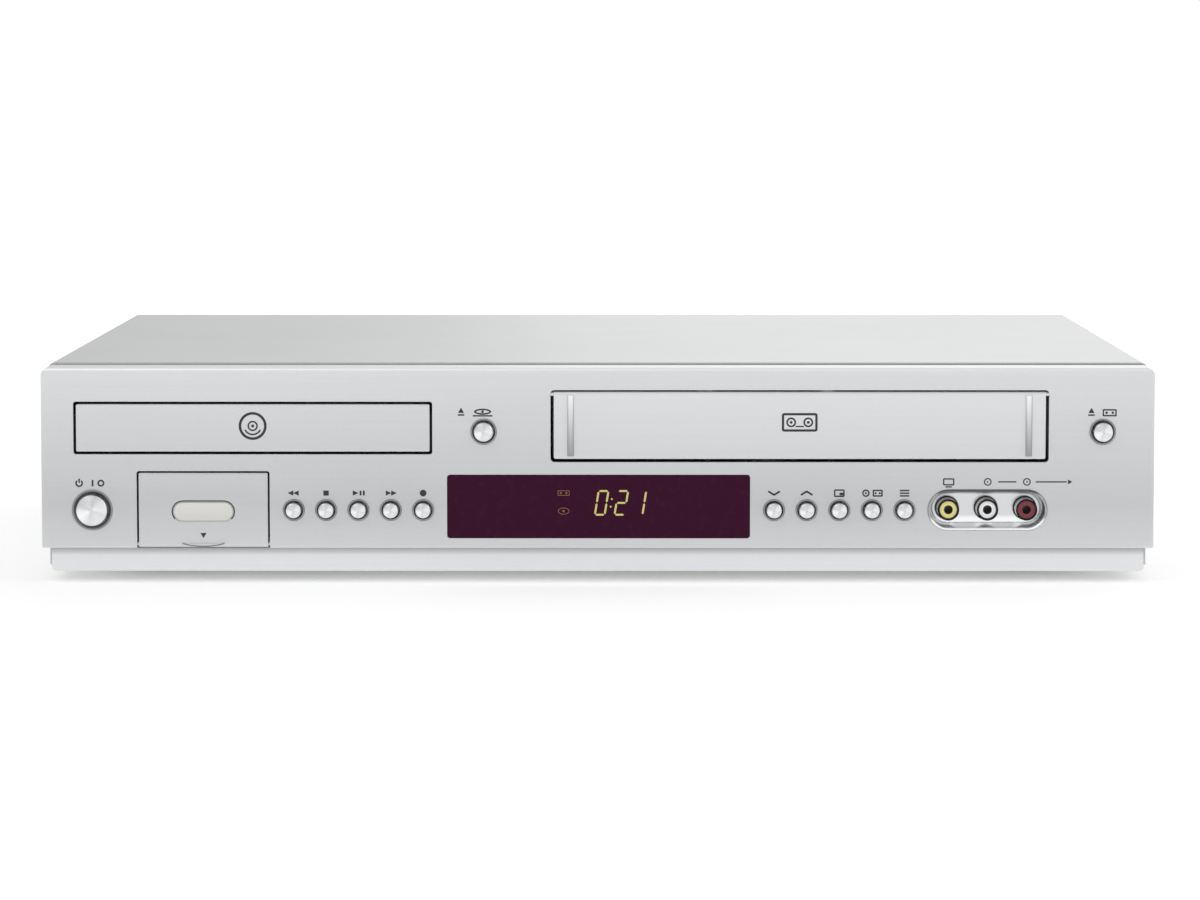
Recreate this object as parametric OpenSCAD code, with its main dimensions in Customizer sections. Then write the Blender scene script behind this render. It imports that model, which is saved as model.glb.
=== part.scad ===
/* [Case] */
// Width of the moulded front, and so of the whole set
case_w = 430; // [428:1:460]
// Height of the moulded front
panel_h = 70; // [70:1:80]
// Depth of the moulded front from its face to the edge of the cover
panel_d = 16; // [14:1:18]
// Wall of the moulded front
panel_wall = 2.6; // [2.4:0.1:3]
// Radius of the upper corners of the front's outline
panel_corner = 3.5; // [2:0.5:5]
// Radius of the lower corners of the front's outline
panel_low_corner = 1; // [0.5:0.1:2]
// Rounding along the front's outer edge
panel_edge = 1.4; // [0.8:0.1:2]
// Depth of the wrap-round cover
cover_d = 315; // [312:1:360]
// How far the cover's side lies inside the front's side
cover_inset = 1.2; // [1.1:0.1:2]
// How far the cover's top stands above the front's top
cover_rise = 0.8; // [0:0.1:1.5]
// Outer radius of the cover's bends
cover_bend = 2.5; // [1.5:0.1:4]
// Thickness of the cover's and the rear panel's sheet
sheet_t = 0.8; // [0.6:0.1:1.1]
// Dark seam between the front and the cover
seam = 0.5; // [0.3:0.1:1]
// Lip of the cover that turns down over the rear panel
cover_lip = 13; // [11:1:16]
// Width of a vent slot in the cover's sides and in the pan
vent_w = 2.6; // [2:0.1:3.4]
// Distance from one vent slot to the next
vent_pitch = 6.5; // [5:0.5:8]
// Height of the side vent slots
vent_h = 24; // [16:1:30]
// Number of vent slots in each side of the cover
vent_count = 14; // [6:1:18]

/* [Base] */
// Thickness of the steel base pan
pan_t = 1.2; // [1:0.1:1.6]
// Height of the pan's turned-up edges
flange_h = 16; // [14:1:20]
// Height of the skirt strip below the front
skirt_h = 9.2; // [8:0.2:11]
// How far each end of the skirt lies inside the front's side
skirt_inset = 3.5; // [2:0.5:6]
// How far the skirt lies behind the front's face
skirt_setback = 3; // [2.5:0.5:5]
// Wall of the skirt
skirt_wall = 2; // [1.6:0.1:2.6]
// Radius of the skirt's lower corners
skirt_corner = 1.6; // [1:0.1:3]
// Height of the rubber feet
foot_h = 5; // [4:0.5:8]
// Diameter of the rubber feet
foot_d = 22; // [18:1:28]
// Distance of the feet from the sides
foot_in_x = 45; // [35:1:60]
// Distance of the feet from the pan's front and rear edges
foot_in_y = 42; // [35:1:60]
// Height of the circuit boards above the pan
board_lift = 6; // [5:0.5:8]
// Thickness of the circuit boards
board_t = 1.6; // [1:0.2:2]
// Diameter of the case screws' shanks
screw_d = 3; // [2.5:0.5:4]
// Diameter of the case screws' heads
screw_head_d = 6; // [5:0.5:7]
// Height of the case screws' heads
screw_head_h = 1; // [0.7:0.1:1.1]

/* [Front controls] */
// Height of the lower button row's centres above the front's lower edge
row_z = 14.8; // [14:0.1:16]
// Distance of the power button's centre from the left side
power_in = 19.7; // [19:0.1:21]
// Distance of the first transport button's centre from the left side
transport_in = 97.6; // [96:0.1:99]
// Distance from one transport button to the next
transport_pitch = 12.5; // [11.5:0.1:12.6]
// Distance of the first function button's centre from the right side
function_in = 146.8; // [145:0.1:148]
// Distance from one function button to the next
function_pitch = 12.6; // [11.5:0.1:12.8]
// Distance of the disc tray's open and close button from the left side
tray_button_in = 171.05; // [167:0.05:175]
// Distance of the cassette's eject button from the right side
eject_in = 20.1; // [19:0.1:23]
// Height of the two upper buttons above the front's lower edge
upper_z = 45.2; // [43:0.1:47]
// Diameter of a small button's cap
small_cap_d = 5.8; // [4.5:0.1:6]
// Diameter of a small button's ring
small_ring_d = 8.3; // [7.8:0.1:9]
// Diameter of an upper button's cap
upper_cap_d = 7.3; // [6:0.1:7.5]
// Diameter of an upper button's ring
upper_ring_d = 10; // [9.6:0.1:12]
// Diameter of the power button's cap
power_cap_d = 11.9; // [10:0.1:12]
// Diameter of the power button's ring
power_ring_d = 15.6; // [15:0.1:17]
// How far the caps stand proud of the face
cap_proud = 3.5; // [2:0.1:4]
// Travel of a button
press_travel = 0.8; // [0.5:0.1:1]
// Depth of the key switches' board behind the face
key_board_depth = 11; // [10.5:0.1:11.5]
// Height of a key switch with its plunger
switch_h = 4.4; // [4:0.1:4.6]

/* [Doors and window] */
// Distance of the disc tray slot's centre from the left side
tray_in = 81.9; // [81:0.1:83]
// Height of the disc tray slot's centre above the front's lower edge
tray_slot_z = 46.6; // [46:0.1:47]
// Width of the disc tray's door
tray_door_w = 136.6; // [136:0.1:138]
// Height of the disc tray's door
tray_door_h = 18.4; // [17.5:0.1:19]
// Gap round the disc tray's door
tray_gap = 1; // [0.5:0.1:1.2]
// Distance of the cassette slot's centre from the right side
deck_in = 137; // [136:0.1:138]
// Height of the cassette slot's lower edge above the front's lower edge
flap_slot_z = 33.4; // [33:0.1:34]
// Width of the cassette slot
flap_slot_w = 192.3; // [191:0.1:194]
// Height of the cassette slot
flap_slot_h = 27.9; // [27:0.1:28.5]
// Gap round the cassette flap
flap_gap = 1.2; // [0.6:0.1:1.4]
// Gap above the cassette flap
flap_top_gap = 0.6; // [0.4:0.1:0.8]
// Thickness of the cassette flap
flap_t = 2; // [1.8:0.1:2.4]
// Width of the two raised bars on the cassette flap
bar_w = 2.6; // [2:0.1:3.4]
// Distance of the bars' centres from the flap's middle
bar_x = 88.4; // [80:0.1:90]
// Distance of the card door's centre from the left side
card_in = 62.6; // [62:0.1:63]
// Width of the card door's opening
card_w = 51.4; // [50:0.1:52]
// Height of the card door's opening above the front's lower edge
card_h = 29.9; // [29:0.1:31]
// Gap round the card door
card_gap = 0.7; // [0.5:0.1:1]
// Thickness of the card door
card_t = 2.6; // [2.4:0.1:2.8]
// Width of the oval recess in the card door
badge_w = 24; // [18:1:30]
// Height of the oval recess in the card door
badge_h = 8.1; // [6:0.1:9]
// Height of the oval recess's centre above the front's lower edge
badge_z = 14.2; // [13:0.1:15]
// Width of the card door's finger lip
lip_w = 16.5; // [12:0.5:22]
// Diameter of the doors' hinge pins
hinge_d = 1.4; // [1:0.1:1.6]
// Length of the doors' hinge pins
hinge_len = 2.4; // [2:0.1:2.8]
// Width of the display window
window_w = 116.8; // [112:0.2:118]
// Height of the display window
window_h = 24.4; // [22:0.2:26]
// Height of the window's centre above the front's lower edge
window_z = 16.2; // [15:0.1:17]
// Centre of the display window
window_x = 0.4; // [-1:0.1:2]
// Thickness of the display window
window_t = 1.5; // [1.2:0.1:1.8]
// Radius of the window's corners
window_r = 1.2; // [0.5:0.1:2.5]

/* [Connectors] */
// Distance of the front jack recess's centre from the right side
jack_in = 64.3; // [63:0.1:67]
// Width of the front jack recess
jack_w = 46.1; // [45:0.1:48]
// Height of the front jack recess
jack_h = 15.7; // [15:0.1:17]
// Depth of the front jack recess
jack_depth = 9; // [7:0.5:10]
// Slope of the recess's wall from its mouth to its floor
jack_draft = 1.2; // [0.6:0.1:1.6]
// Distance from one front jack to the next
jack_pitch = 15.1; // [14:0.1:15.4]
// Outer diameter of a phono jack's shell
shell_d = 8.3; // [8:0.05:8.6]
// Wall of a phono jack's shell
shell_wall = 0.55; // [0.4:0.05:0.8]
// Thickness of the collar that seats a front jack's shell in the recess's floor
shell_collar = 0.4; // [0.3:0.05:0.6]
// Diameter of a phono jack's centre hole
jack_hole_d = 3.2; // [2.8:0.1:3.4]
// Length of the rear connectors behind the rear panel
rear_out = 9; // [8:0.5:11]
// Distance from one rear jack to the next
rear_jack_pitch = 15; // [14:0.5:18]
// Number of columns of rear jacks
rear_jack_cols = 6; // [4:1:6]
// Centre of the rear jack field
rear_jack_x = 60; // [55:1:70]
// Height of the lower row of rear jacks above the pan
rear_jack_z = 21; // [20:1:24]
// Distance of the aerial module's centre from the right side
tuner_in = 43; // [35:1:65]
// Distance of the mains inlet's centre from the left side
inlet_in = 39; // [35:1:50]
// Height of the mains inlet's centre above the pan
inlet_z = 24; // [22:1:30]

/* [Disc loader] */
// Distance of the disc's centre behind the face
spindle_depth = 81; // [80:0.5:82]
// Diameter of the tray's recess for a large disc
disc_d = 121; // [120.5:0.1:122]
// Diameter of the tray's recess for a small disc
small_disc_d = 81; // [80.5:0.1:84]
// Depth of each recess in the tray
recess_depth = 1.6; // [1.2:0.1:1.8]
// Width of the tray's body
tray_w = 126; // [125:0.5:128]
// Length of the tray behind its door
tray_len = 165; // [160:1:168]
// Thickness of the tray
tray_t = 6; // [5.6:0.1:6.4]
// Height of the tray's underside above the front's lower edge
tray_under = 42.3; // [42:0.1:42.6]
// Width of the tray's centre opening
tray_hole_w = 36; // [34:0.5:38]
// Travel of the tray
tray_travel = 143; // [130:1:145]
// Room behind the closed tray
tray_end_room = 15.4; // [13:0.1:18]
// Wall of the loader's frame
loader_wall = 2; // [1.6:0.1:2.2]
// Height of the loader's frame
loader_h = 26; // [25.5:0.1:27]
// Module of the tray drive's teeth
tooth_m = 1.25; // [1.2:0.01:1.3]
// Teeth of the tray gear
gear_teeth = 18; // [17:1:19]
// Teeth of the pulley gear's pinion
pinion_teeth = 12; // [12:1:13]
// Pressure angle of the teeth
tooth_angle = 25; // [22:0.5:27]
// Play between meshed teeth
backlash = 0.3; // [0.2:0.05:0.4]
// Thickness of the gears
gear_t = 2.6; // [2.2:0.1:2.8]
// Diameter of the pins that the gears turn on
gear_pin_d = 3; // [2.6:0.1:3.4]
// Diameter of the pulley gear's belt wheel
pulley_d = 22; // [20:0.5:23]
// Diameter of the motor's belt wheel
motor_pulley_d = 7; // [6:0.5:8]
// Side of the square drive belt
belt_t = 1.3; // [1:0.1:1.4]
// Width of the lifting frame that carries the spindle and the pickup
traverse_w = 76; // [74:0.5:78]
// Thickness of the lifting frame
traverse_t = 5.5; // [5:0.1:6]
// Diameter of the pickup's guide rods
rail_d = 3; // [2.6:0.1:3.2]
// Distance from one guide rod to the other
rail_span = 50; // [48:0.5:51]
// Travel of the pickup
pickup_travel = 34; // [28:0.5:34]
// Diameter of the disc turntable
turntable_d = 30; // [26:0.5:31]
// Diameter of the disc clamp
clamp_d = 30; // [28:0.5:32]

/* [Tape deck] */
// Height of the deck plate above the pan
deck_lift = 13.8; // [13:0.1:14.5]
// Thickness of the deck plate
deck_t = 1.6; // [1.2:0.1:2]
// Width of the deck plate
deck_w = 202; // [201:0.5:206]
// Depth of the deck plate
deck_d = 176; // [174:1:180]
// Distance of the deck plate's front behind the face
deck_front = 60; // [56:1:62]
// Distance of the carriage's front behind the face
carriage_front = 34; // [33:0.5:35]
// Depth of the carriage
carriage_d = 132; // [130:1:133]
// Sheet of the carriage and the holder
carriage_t = 1.2; // [1:0.1:1.4]
// Clear width inside the cassette holder
holder_w = 189.2; // [188.5:0.1:190]
// Depth of the cassette holder
holder_d = 70; // [60:1:72]
// Travel of the cassette holder
holder_travel = 56; // [50:1:56]
// Distance between the reels' centres
reel_span = 92; // [90:0.5:94]
// Distance of the reels behind the face
reel_depth = 110; // [105:1:115]
// Diameter of the reel tables
reel_d = 42; // [36:1:46]
// Diameter of the head drum
drum_d = 62; // [61:0.5:62]
// Tilt of the head drum
drum_tilt = 5.97; // [5:0.01:7]
// Distance of the head drum's centre behind the face
drum_depth = 203; // [202:0.5:204]
// Diameter of the capstan's shaft
capstan_d = 4; // [3:0.1:4.4]
// Diameter of the capstan's flywheel
flywheel_d = 52; // [44:1:54]
// Diameter of the pinch roller
pinch_d = 14; // [13:0.1:14.4]
// Swing of the pinch arm
pinch_swing = 30; // [20:1:30]

/* [Clearances] */
// Radial play of a pin or shaft in its hole
run_gap = 0.1; // [0.06:0.01:0.15]
// Space between sliding pieces
slide_gap = 0.3; // [0.25:0.05:0.4]
// Space round a pressed or glued piece
seat_gap = 0.05; // [0.03:0.01:0.1]

/* [Hidden] */
$fn = 64;
over = 1; // how far a cutting shape runs past the wall that it cuts

silver = [0.80, 0.81, 0.82];
pale_silver = [0.86, 0.87, 0.88];
steel = [0.72, 0.73, 0.75];
chrome = [0.62, 0.64, 0.67];
black = [0.10, 0.10, 0.11];
dark_grey = [0.25, 0.25, 0.27];
board_green = [0.16, 0.34, 0.20];
maroon = [0.16, 0.05, 0.10];

// Levels above the surface that the set stands on
panel_z0 = foot_h + skirt_h;
panel_z1 = panel_z0 + panel_h;
pan_top = foot_h + pan_t;
cover_top = panel_z1 + cover_rise;
board_z = pan_top + board_lift;

// Places along the width, from the side that each group keeps to
power_x = power_in - case_w / 2;
card_x = card_in - case_w / 2;
tray_x = tray_in - case_w / 2;
transport_x = transport_in - case_w / 2;
tray_button_x = tray_button_in - case_w / 2;
inlet_x = inlet_in - case_w / 2;
function_x = case_w / 2 - function_in;
deck_x = case_w / 2 - deck_in;
jack_x = case_w / 2 - jack_in;
eject_x = case_w / 2 - eject_in;
tuner_x = case_w / 2 - tuner_in;

// Places along the depth: the face looks towards -Y
case_len = panel_d + seam + cover_d;
rear_depth = case_len - sheet_t;
face_y = (cap_proud - rear_depth - rear_out) / 2;
rear_y = face_y + rear_depth;
cover_y0 = face_y + panel_d + seam;
cover_y1 = face_y + case_len;
cover_w = case_w - 2 * cover_inset;
pan_w = cover_w - 2 * sheet_t - 2 * seat_gap;
pan_y0 = face_y + panel_d;
rear_in_y = rear_y - sheet_t;

function behind(d) = face_y + d;
function above(h) = panel_z0 + h;

// Rows of buttons: [x, height, cap diameter, ring diameter]
small_keys = concat(
    [for (i = [0:4]) [transport_x + i * transport_pitch, above(row_z), small_cap_d, small_ring_d]],
    [for (i = [0:4]) [function_x + i * function_pitch, above(row_z), small_cap_d, small_ring_d]]);
upper_keys = [for (x = [tray_button_x, eject_x]) [x, above(upper_z), upper_cap_d, upper_ring_d]];
power_key = [power_x, above(row_z), power_cap_d, power_ring_d];
all_keys = concat(small_keys, upper_keys, [power_key]);
board_y = behind(key_board_depth);
switch_tip_y = board_y - switch_h;
stem_end_y = switch_tip_y - press_travel - slide_gap;
ring_proud = 0.25;
ring_lip = 0.5;
collar_t = 1.1;
cap_edge = 0.3; // bevel of a cap's rim
stem_d = 3;
key_board_h = 25; // top of the lower key boards above the front's lower edge

// Doors
tray_z = above(tray_slot_z);
tray_door_t = panel_wall;
flap_z0 = above(flap_slot_z);
flap_z1 = flap_z0 + flap_slot_h;
flap_h = flap_slot_h - flap_gap - flap_top_gap;
flap_w = flap_slot_w - 2 * flap_gap;
flap_axis_y = behind(flap_t / 2);
flap_axis_z = flap_z1 - flap_top_gap - flap_t / 2;
door_edge = 0.5; // rounding along the doors' front edges
bar_low = 2.4;
bar_high = 2;
bar_out = 1.2; // how far a bar stands out at its lower end
bar_fade = 0.3; // and at its upper end
card_axis_y = behind(card_t / 2);
card_axis_z = panel_z0 + slide_gap + card_t / 2;
card_door_h = card_h - card_gap - slide_gap;
card_tunnel_t = 1.6;
card_reader_front = 9;
lip_rise = 1.1;
lip_proud = 0.8;
window_sink = 0.2;
window_ledge = 1.5;
window_play = 0.15;

// Disc loader
tray_z0 = above(tray_under);
frame_z0 = tray_z0 - 16.5;
loader_front = 5;
frame_y0 = behind(loader_front);
spindle_y = behind(spindle_depth);
runner_w = tray_w + 9;
runner_play = 0.5;
loader_w = runner_w + 2 * (runner_play + loader_wall);
loader_d = tray_door_t + tray_len + tray_end_room + loader_wall - loader_front;
runner_t = 2;
ledge_w = 6;
gear_r = tooth_m * gear_teeth / 2;
pinion_r = tooth_m * pinion_teeth / 2;
tooth_add = 0.8;
tooth_ded = 1;
rack_x = tray_x + tray_w / 2 - 27;
gear_x = rack_x + gear_r;
gear_y = behind(19);
gear_z = tray_z0 - gear_t - 0.4;
pinion_dir = 75;
pulley_x = gear_x + (gear_r + pinion_r) * cos(pinion_dir);
pulley_y = gear_y + (gear_r + pinion_r) * sin(pinion_dir);
pulley_t = 3;
pulley_z = gear_z - 5.9;
groove_depth = 1.3;
groove_wall = 0.45;
motor_x = tray_x + 20;
motor_y = behind(24);
motor_d = 21;
motor_len = 18;
loader_post_x = loader_w / 2 - 8;
loader_post_y = [behind(22), frame_y0 + loader_d - 9];
traverse_y0 = behind(50);
traverse_y1 = behind(170);
traverse_z0 = frame_z0 - 2.5;
pivot_y = traverse_y1 - 5.5;
pivot_z = traverse_z0 + traverse_t / 2;
pivot_d = 3;
bay_y0 = behind(96);
bay_y1 = bay_y0 + 32 + pickup_travel;
rail_z = traverse_z0 + traverse_t / 2;
pickup_y0 = bay_y0 + 1;
pickup_len = 30;
pickup_w = 34;
lens_d = 5;
lens_ring_d = 9;
lens_in = 8; // from the pickup's front end
rail_seat = 4; // how far a rail goes into the frame at each end
pivot_reach = 4.3; // how far a pivot stands out of the frame's side
boss_d = 9;
boss_h = 2.6;
spindle_d = 3;
rotor_d = 23;
rotor_h = 4;
hub_d = 10;
platter_t = 1.8;
platter_drop = 2.1; // the platter's top below the tray
cone_d = 14.8;
cone_top_d = 13;
cone_h = 1.7;
pocket_x = 24; // lightening pockets beside the pickup's bay
pocket_w = 16;
bridge_z = frame_z0 + loader_h;
bridge_t = 1.6;
bridge_d = 44;
clamp_neck_d = 23.6;

// Tape deck
deck_z = pan_top + deck_lift;
deck_top = deck_z + deck_t;
deck_y0 = behind(deck_front);
deck_post_x = 92;
deck_post_y = [deck_y0 + 8, deck_y0 + deck_d - 8];
carriage_in = 98;
carriage_y0 = behind(carriage_front);
carriage_top = flap_z1 + 3.1;
holder_z0 = flap_z0 - 0.6;
holder_y0 = carriage_y0 + 2;
holder_z1 = flap_z1 - 0.3;
guide_d = 4;
guide_z = holder_z0 + 14;
guide_y = holder_y0 + 22;
reel_y = behind(reel_depth);
reel_pin_d = 4;
drum_x = deck_x - 6;
drum_y = behind(drum_depth);
drum_base_h = 17;
drum_rotor_h = 18;
drum_lift = 4;
drum_shaft_d = 6;
capstan_out = 48;
capstan_depth = 178;
capstan_x = deck_x + capstan_out;
capstan_y = behind(capstan_depth);
capstan_top = deck_top + 34;
flywheel_z = pan_top + 5;
flywheel_t = 5.5;
pinch_out = 70;
pinch_depth = 184;
pinch_x = deck_x + pinch_out;
pinch_y = behind(pinch_depth);
pinch_len = 20;
tape_post_out = 58;
tape_post_back = 44;
tape_post_h = 26;
threader_out = 92;
threader_back = 14; // from the deck's rear edge
threader_len = 26;
threader_h = 11;
pinch_reach = norm([pinch_x - capstan_x, pinch_y - capstan_y]);
pinch_touch = (pinch_d + capstan_d) / 2 + slide_gap;
pinch_closed = 180 + atan2(pinch_y - capstan_y, pinch_x - capstan_x)
    - acos((pow(pinch_reach, 2) + pow(pinch_len, 2) - pow(pinch_touch, 2))
           / (2 * pinch_reach * pinch_len));
pinch_rest = pinch_closed - pinch_swing;
pinch_pin_d = 4;

// Connectors and boards
jack_z = above(14.9);
jack_xs = [for (i = [-1:1]) jack_x + i * jack_pitch];
jack_wall = 1.2;
insert_sink = 0.8;
insert_len = 7;
rear_jack_xs = [for (i = [0:rear_jack_cols - 1])
    rear_jack_x + (i - (rear_jack_cols - 1) / 2) * rear_jack_pitch];
rear_jack_zs = [for (i = [0:1]) pan_top + rear_jack_z + i * rear_jack_pitch];
rear_shell_out = rear_out - 0.5;
jack_board_w = rear_jack_pitch * rear_jack_cols + 10;
jack_board_d = 46;
tuner_w = 32;
tuner_d = 62;
tuner_h = 46;
aerial_zs = [board_z + 13, board_z + 32];
aerial_d = 9.4;
power_x0 = -cover_w / 2 + 9;
power_w = 148;
power_d = 108;
power_y1 = rear_in_y - 4;
main_w = 142;
main_y0 = behind(44);
main_d = 128;
inlet_w = 24;
inlet_h = 17;
inlet_depth = 16;
screw_y = [cover_y0 + 40, cover_y1 - 60];
screw_z = foot_h + 9;
rear_screw_in = 23.8;
rear_screw_x = [for (i = [-1:1]) i * (cover_w / 2 - rear_screw_in)];
pan_rib_y = [cover_y0 + 195, cover_y0 + 250];
rear_screw_z = cover_top - 7;

// ---------- Helper shapes ----------

// A flat shape in X and Z, made solid from y0 back to y1
module prism_y(y0, y1) translate([0, y1, 0]) rotate([90, 0, 0]) linear_extrude(y1 - y0) children();

// A flat shape in Y and Z, made solid from x0 to x1
module prism_x(x0, x1) translate([x0, 0, 0]) rotate([90, 0, 90]) linear_extrude(x1 - x0) children();

// A flat shape in X and Y, made solid from z0 up to z1
module prism_z(z0, z1) translate([0, 0, z0]) linear_extrude(z1 - z0) children();

// A block between two corners
module block(a, b) translate(a) cube(b - a);

// Round bars along each direction
module bar_y(x, z, d, y0, y1) translate([x, y1, z]) rotate([90, 0, 0]) cylinder(d = d, h = y1 - y0);
module bar_x(y, z, d, x0, x1) translate([x0, y, z]) rotate([0, 90, 0]) cylinder(d = d, h = x1 - x0);
module bar_z(x, y, d, z0, z1) translate([x, y, z0]) cylinder(d = d, h = z1 - z0);

// What is cut away to round a square corner
module corner_notch(r) difference() {
    translate([-over, -over]) square(r + over);
    translate([r, r]) circle(r);
}

// A rectangle from the origin, radii from the lower left corner round to the upper left
module quad(w, h, r) difference() {
    square([w, h]);
    for (i = [0:3]) if (r[i] > 0)
        translate([i == 1 || i == 2 ? w : 0, i > 1 ? h : 0]) rotate(90 * i) corner_notch(r[i]);
}

// The same with its centre at x and z and equal corners
module centred_quad(x, z, w, h, r) translate([x - w / 2, z - h / 2]) quad(w, h, [r, r, r, r]);

// A stadium outline with its centre at x and z
module stadium(x, z, w, h) {
    translate([x, z]) square([w - h, h], center = true);
    for (s = [-1, 1]) translate([x + s * (w - h) / 2, z]) circle(d = h);
}

// A spacing post with a blind screw hole in its top
module post(x, y, d, z0, z1, hole = 2) difference() {
    bar_z(x, y, d, z0, z1);
    bar_z(x, y, hole, z1 - 4, z1 + over);
}

// Involute gear outline: the middle of one tooth points along +X
module gear_outline(m, teeth) {
    r = m * teeth / 2;
    base = r * cos(tooth_angle);
    tip = r + tooth_add * m;
    root = r - tooth_ded * m;
    half = 90 / teeth - backlash / 4 / r * 180 / PI + tan(tooth_angle) * 180 / PI - tooth_angle;
    roll0 = root > base ? sqrt(pow(root / base, 2) - 1) : 0;
    roll1 = sqrt(pow(tip / base, 2) - 1);
    steps = 4;
    flank = [for (i = [0:steps]) let (t = roll0 + (roll1 - roll0) * i / steps)
        [base * sqrt(1 + t * t), t * 180 / PI - atan(t) - half]];
    tooth = concat([[root, -half]], flank,
        [for (i = [steps:-1:0]) [flank[i][0], -flank[i][1]]], [[root, half]]);
    polygon([for (k = [0:teeth - 1]) for (p = tooth)
        let (a = p[1] + k * 360 / teeth) p[0] * [cos(a), sin(a)]]);
}

// Straight rack outline: teeth point along +X, one tooth is centred on y = 0
module rack_outline(m, before, after, back) {
    pitch = PI * m;
    half = pitch / 4 - backlash / 4;
    slope = tan(tooth_angle);
    tip = half - tooth_add * m * slope;
    foot = half + tooth_ded * m * slope;
    y_low = -before * pitch - pitch / 2;
    y_high = after * pitch + pitch / 2;
    polygon(concat([[-back, y_low], [-tooth_ded * m, y_low]],
        [for (k = [-before:after]) each [
            [-tooth_ded * m, k * pitch - foot], [tooth_add * m, k * pitch - tip],
            [tooth_add * m, k * pitch + tip], [-tooth_ded * m, k * pitch + foot]]],
        [[-tooth_ded * m, y_high], [-back, y_high]]));
}

// A push switch on a board that stands behind the face
module key_switch(x, z) {
    body_h = switch_h - 1;
    block([x - 3, board_y - body_h, z - 3], [x + 3, board_y, z + 3]);
    bar_y(x, z, 3.4, switch_tip_y, board_y - body_h);
}

// ---------- Casing ----------

module cover_outline(w, z0, z1, r) translate([-w / 2, z0]) quad(w, z1 - z0, [0, 0, r, r]);

module top_cover() color(silver) difference() {
    union() {
        difference() {
            prism_y(cover_y0, cover_y1) cover_outline(cover_w, foot_h + over, cover_top, cover_bend);
            prism_y(cover_y0 - over, cover_y1 + over)
                cover_outline(cover_w - 2 * sheet_t, 0, cover_top - sheet_t, cover_bend - sheet_t);
        }
        prism_y(rear_y, cover_y1)
            translate([-cover_w / 2 + cover_bend, cover_top - cover_lip]) square([cover_w - 2 * cover_bend, cover_lip]);
    }
    for (i = [0:vent_count - 1])
        translate([0, cover_y1 - 40 - i * vent_pitch, cover_top - 14 - vent_h])
            prism_x(-cover_w / 2 - over, cover_w / 2 + over) quad(vent_w, vent_h, [1, 1, 1, 1]);
    for (y = screw_y) bar_x(y, screw_z, screw_d + 2 * run_gap, -cover_w / 2 - over, cover_w / 2 + over);
    for (x = rear_screw_x) bar_y(x, rear_screw_z, screw_d + 2 * run_gap, rear_y - over, cover_y1 + over);
}

module pan_vents(x0, y0, count, len) for (i = [0:count - 1])
    translate([x0 + i * vent_pitch, y0]) quad(vent_w, len, [1, 1, 1, 1]);

module chassis_pan() color(steel) difference() {
    union() {
        block([-pan_w / 2, pan_y0, foot_h], [pan_w / 2, rear_y, pan_top]);
        for (s = [-1, 1]) translate([s * (pan_w - pan_t) / 2, 0, 0])
            block([-pan_t / 2, pan_y0, foot_h], [pan_t / 2, rear_in_y - seat_gap, foot_h + flange_h]);
        block([-pan_w / 2, pan_y0, foot_h], [pan_w / 2, pan_y0 + pan_t, panel_z0 + panel_wall]);
        for (y = pan_rib_y) block([-20, y, pan_top - 0.2], [8, y + 6, pan_top + 1.6]);
        for (s = [-1, 1], y = loader_post_y) post(tray_x + s * loader_post_x, y, 8, pan_top, frame_z0);
        for (s = [-1, 1], y = deck_post_y) post(deck_x + s * deck_post_x, y, 8, pan_top, deck_z);
        for (x = [-0.42, 0.42], y = [0.12, 0.88])
            post(tray_x + x * main_w, main_y0 + y * main_d, 6, pan_top, board_z);
        for (x = [0.05, 0.95], y = [0.06, 0.94])
            post(power_x0 + x * power_w, power_y1 - y * power_d, 6, pan_top, board_z);
        for (x = [-0.46, 0.46], y = [0.1, 0.9])
            post(rear_jack_x + x * jack_board_w, rear_in_y - y * jack_board_d, 6, pan_top, board_z);
        for (y = [0.2, 0.8]) post(tuner_x, rear_in_y - y * tuner_d, 8, pan_top, board_z);
        for (s = [-1, 1]) post(card_x + s * 16, behind(34), 7, pan_top, panel_z0 + 3);
    }
    prism_z(foot_h - over, pan_top + over) {
        pan_vents(power_x0 + 22, power_y1 - 92, 16, 34);
        pan_vents(power_x0 + 22, power_y1 - 50, 16, 34);
        pan_vents(tray_x - 40, main_y0 + 44, 13, 40);
    }
    for (y = screw_y) bar_x(y, screw_z, screw_d + 2 * run_gap, -cover_w / 2 - over, cover_w / 2 + over);
}

module rear_panel() color(steel) difference() {
    prism_y(rear_in_y, rear_y) cover_outline(pan_w, pan_top, cover_top - sheet_t - seat_gap, cover_bend);
    for (x = rear_jack_xs, z = rear_jack_zs) bar_y(x, z, shell_d + 2, rear_in_y - over, rear_y + over);
    for (z = aerial_zs) bar_y(tuner_x, z, aerial_d + 1, rear_in_y - over, rear_y + over);
    prism_y(rear_in_y - over, rear_y + over) {
        centred_quad(inlet_x, pan_top + inlet_z, inlet_w + 2 * seat_gap, inlet_h + 2 * seat_gap, 2);
        for (i = [0:9]) centred_quad(-132 + i * vent_pitch, pan_top + 36, vent_w, vent_h, 1);
    }
    for (x = rear_screw_x) bar_y(x, rear_screw_z, screw_d + 2 * run_gap, rear_in_y - over, rear_y + over);
}

// A plate with its front on the face: corners are its outline's radii, and edges the rounding
// along its front's lower edge, upper edge and sides
module face_plate(x, w, z0, h, depth, corners, edges) intersection() {
    prism_y(face_y, behind(depth)) translate([x - w / 2, z0]) quad(w, h, corners);
    prism_x(x - w / 2, x + w / 2) translate([face_y, z0]) quad(depth, h, [edges[0], 0, 0, edges[1]]);
    prism_z(z0, z0 + h) translate([x - w / 2, face_y]) quad(w, depth, [edges[2], edges[2], 0, 0]);
}

module panel_blank() face_plate(0, case_w, panel_z0, panel_h, panel_d,
    [panel_low_corner, panel_low_corner, panel_corner, panel_corner], [panel_edge / 2, panel_edge, panel_edge]);

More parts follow.
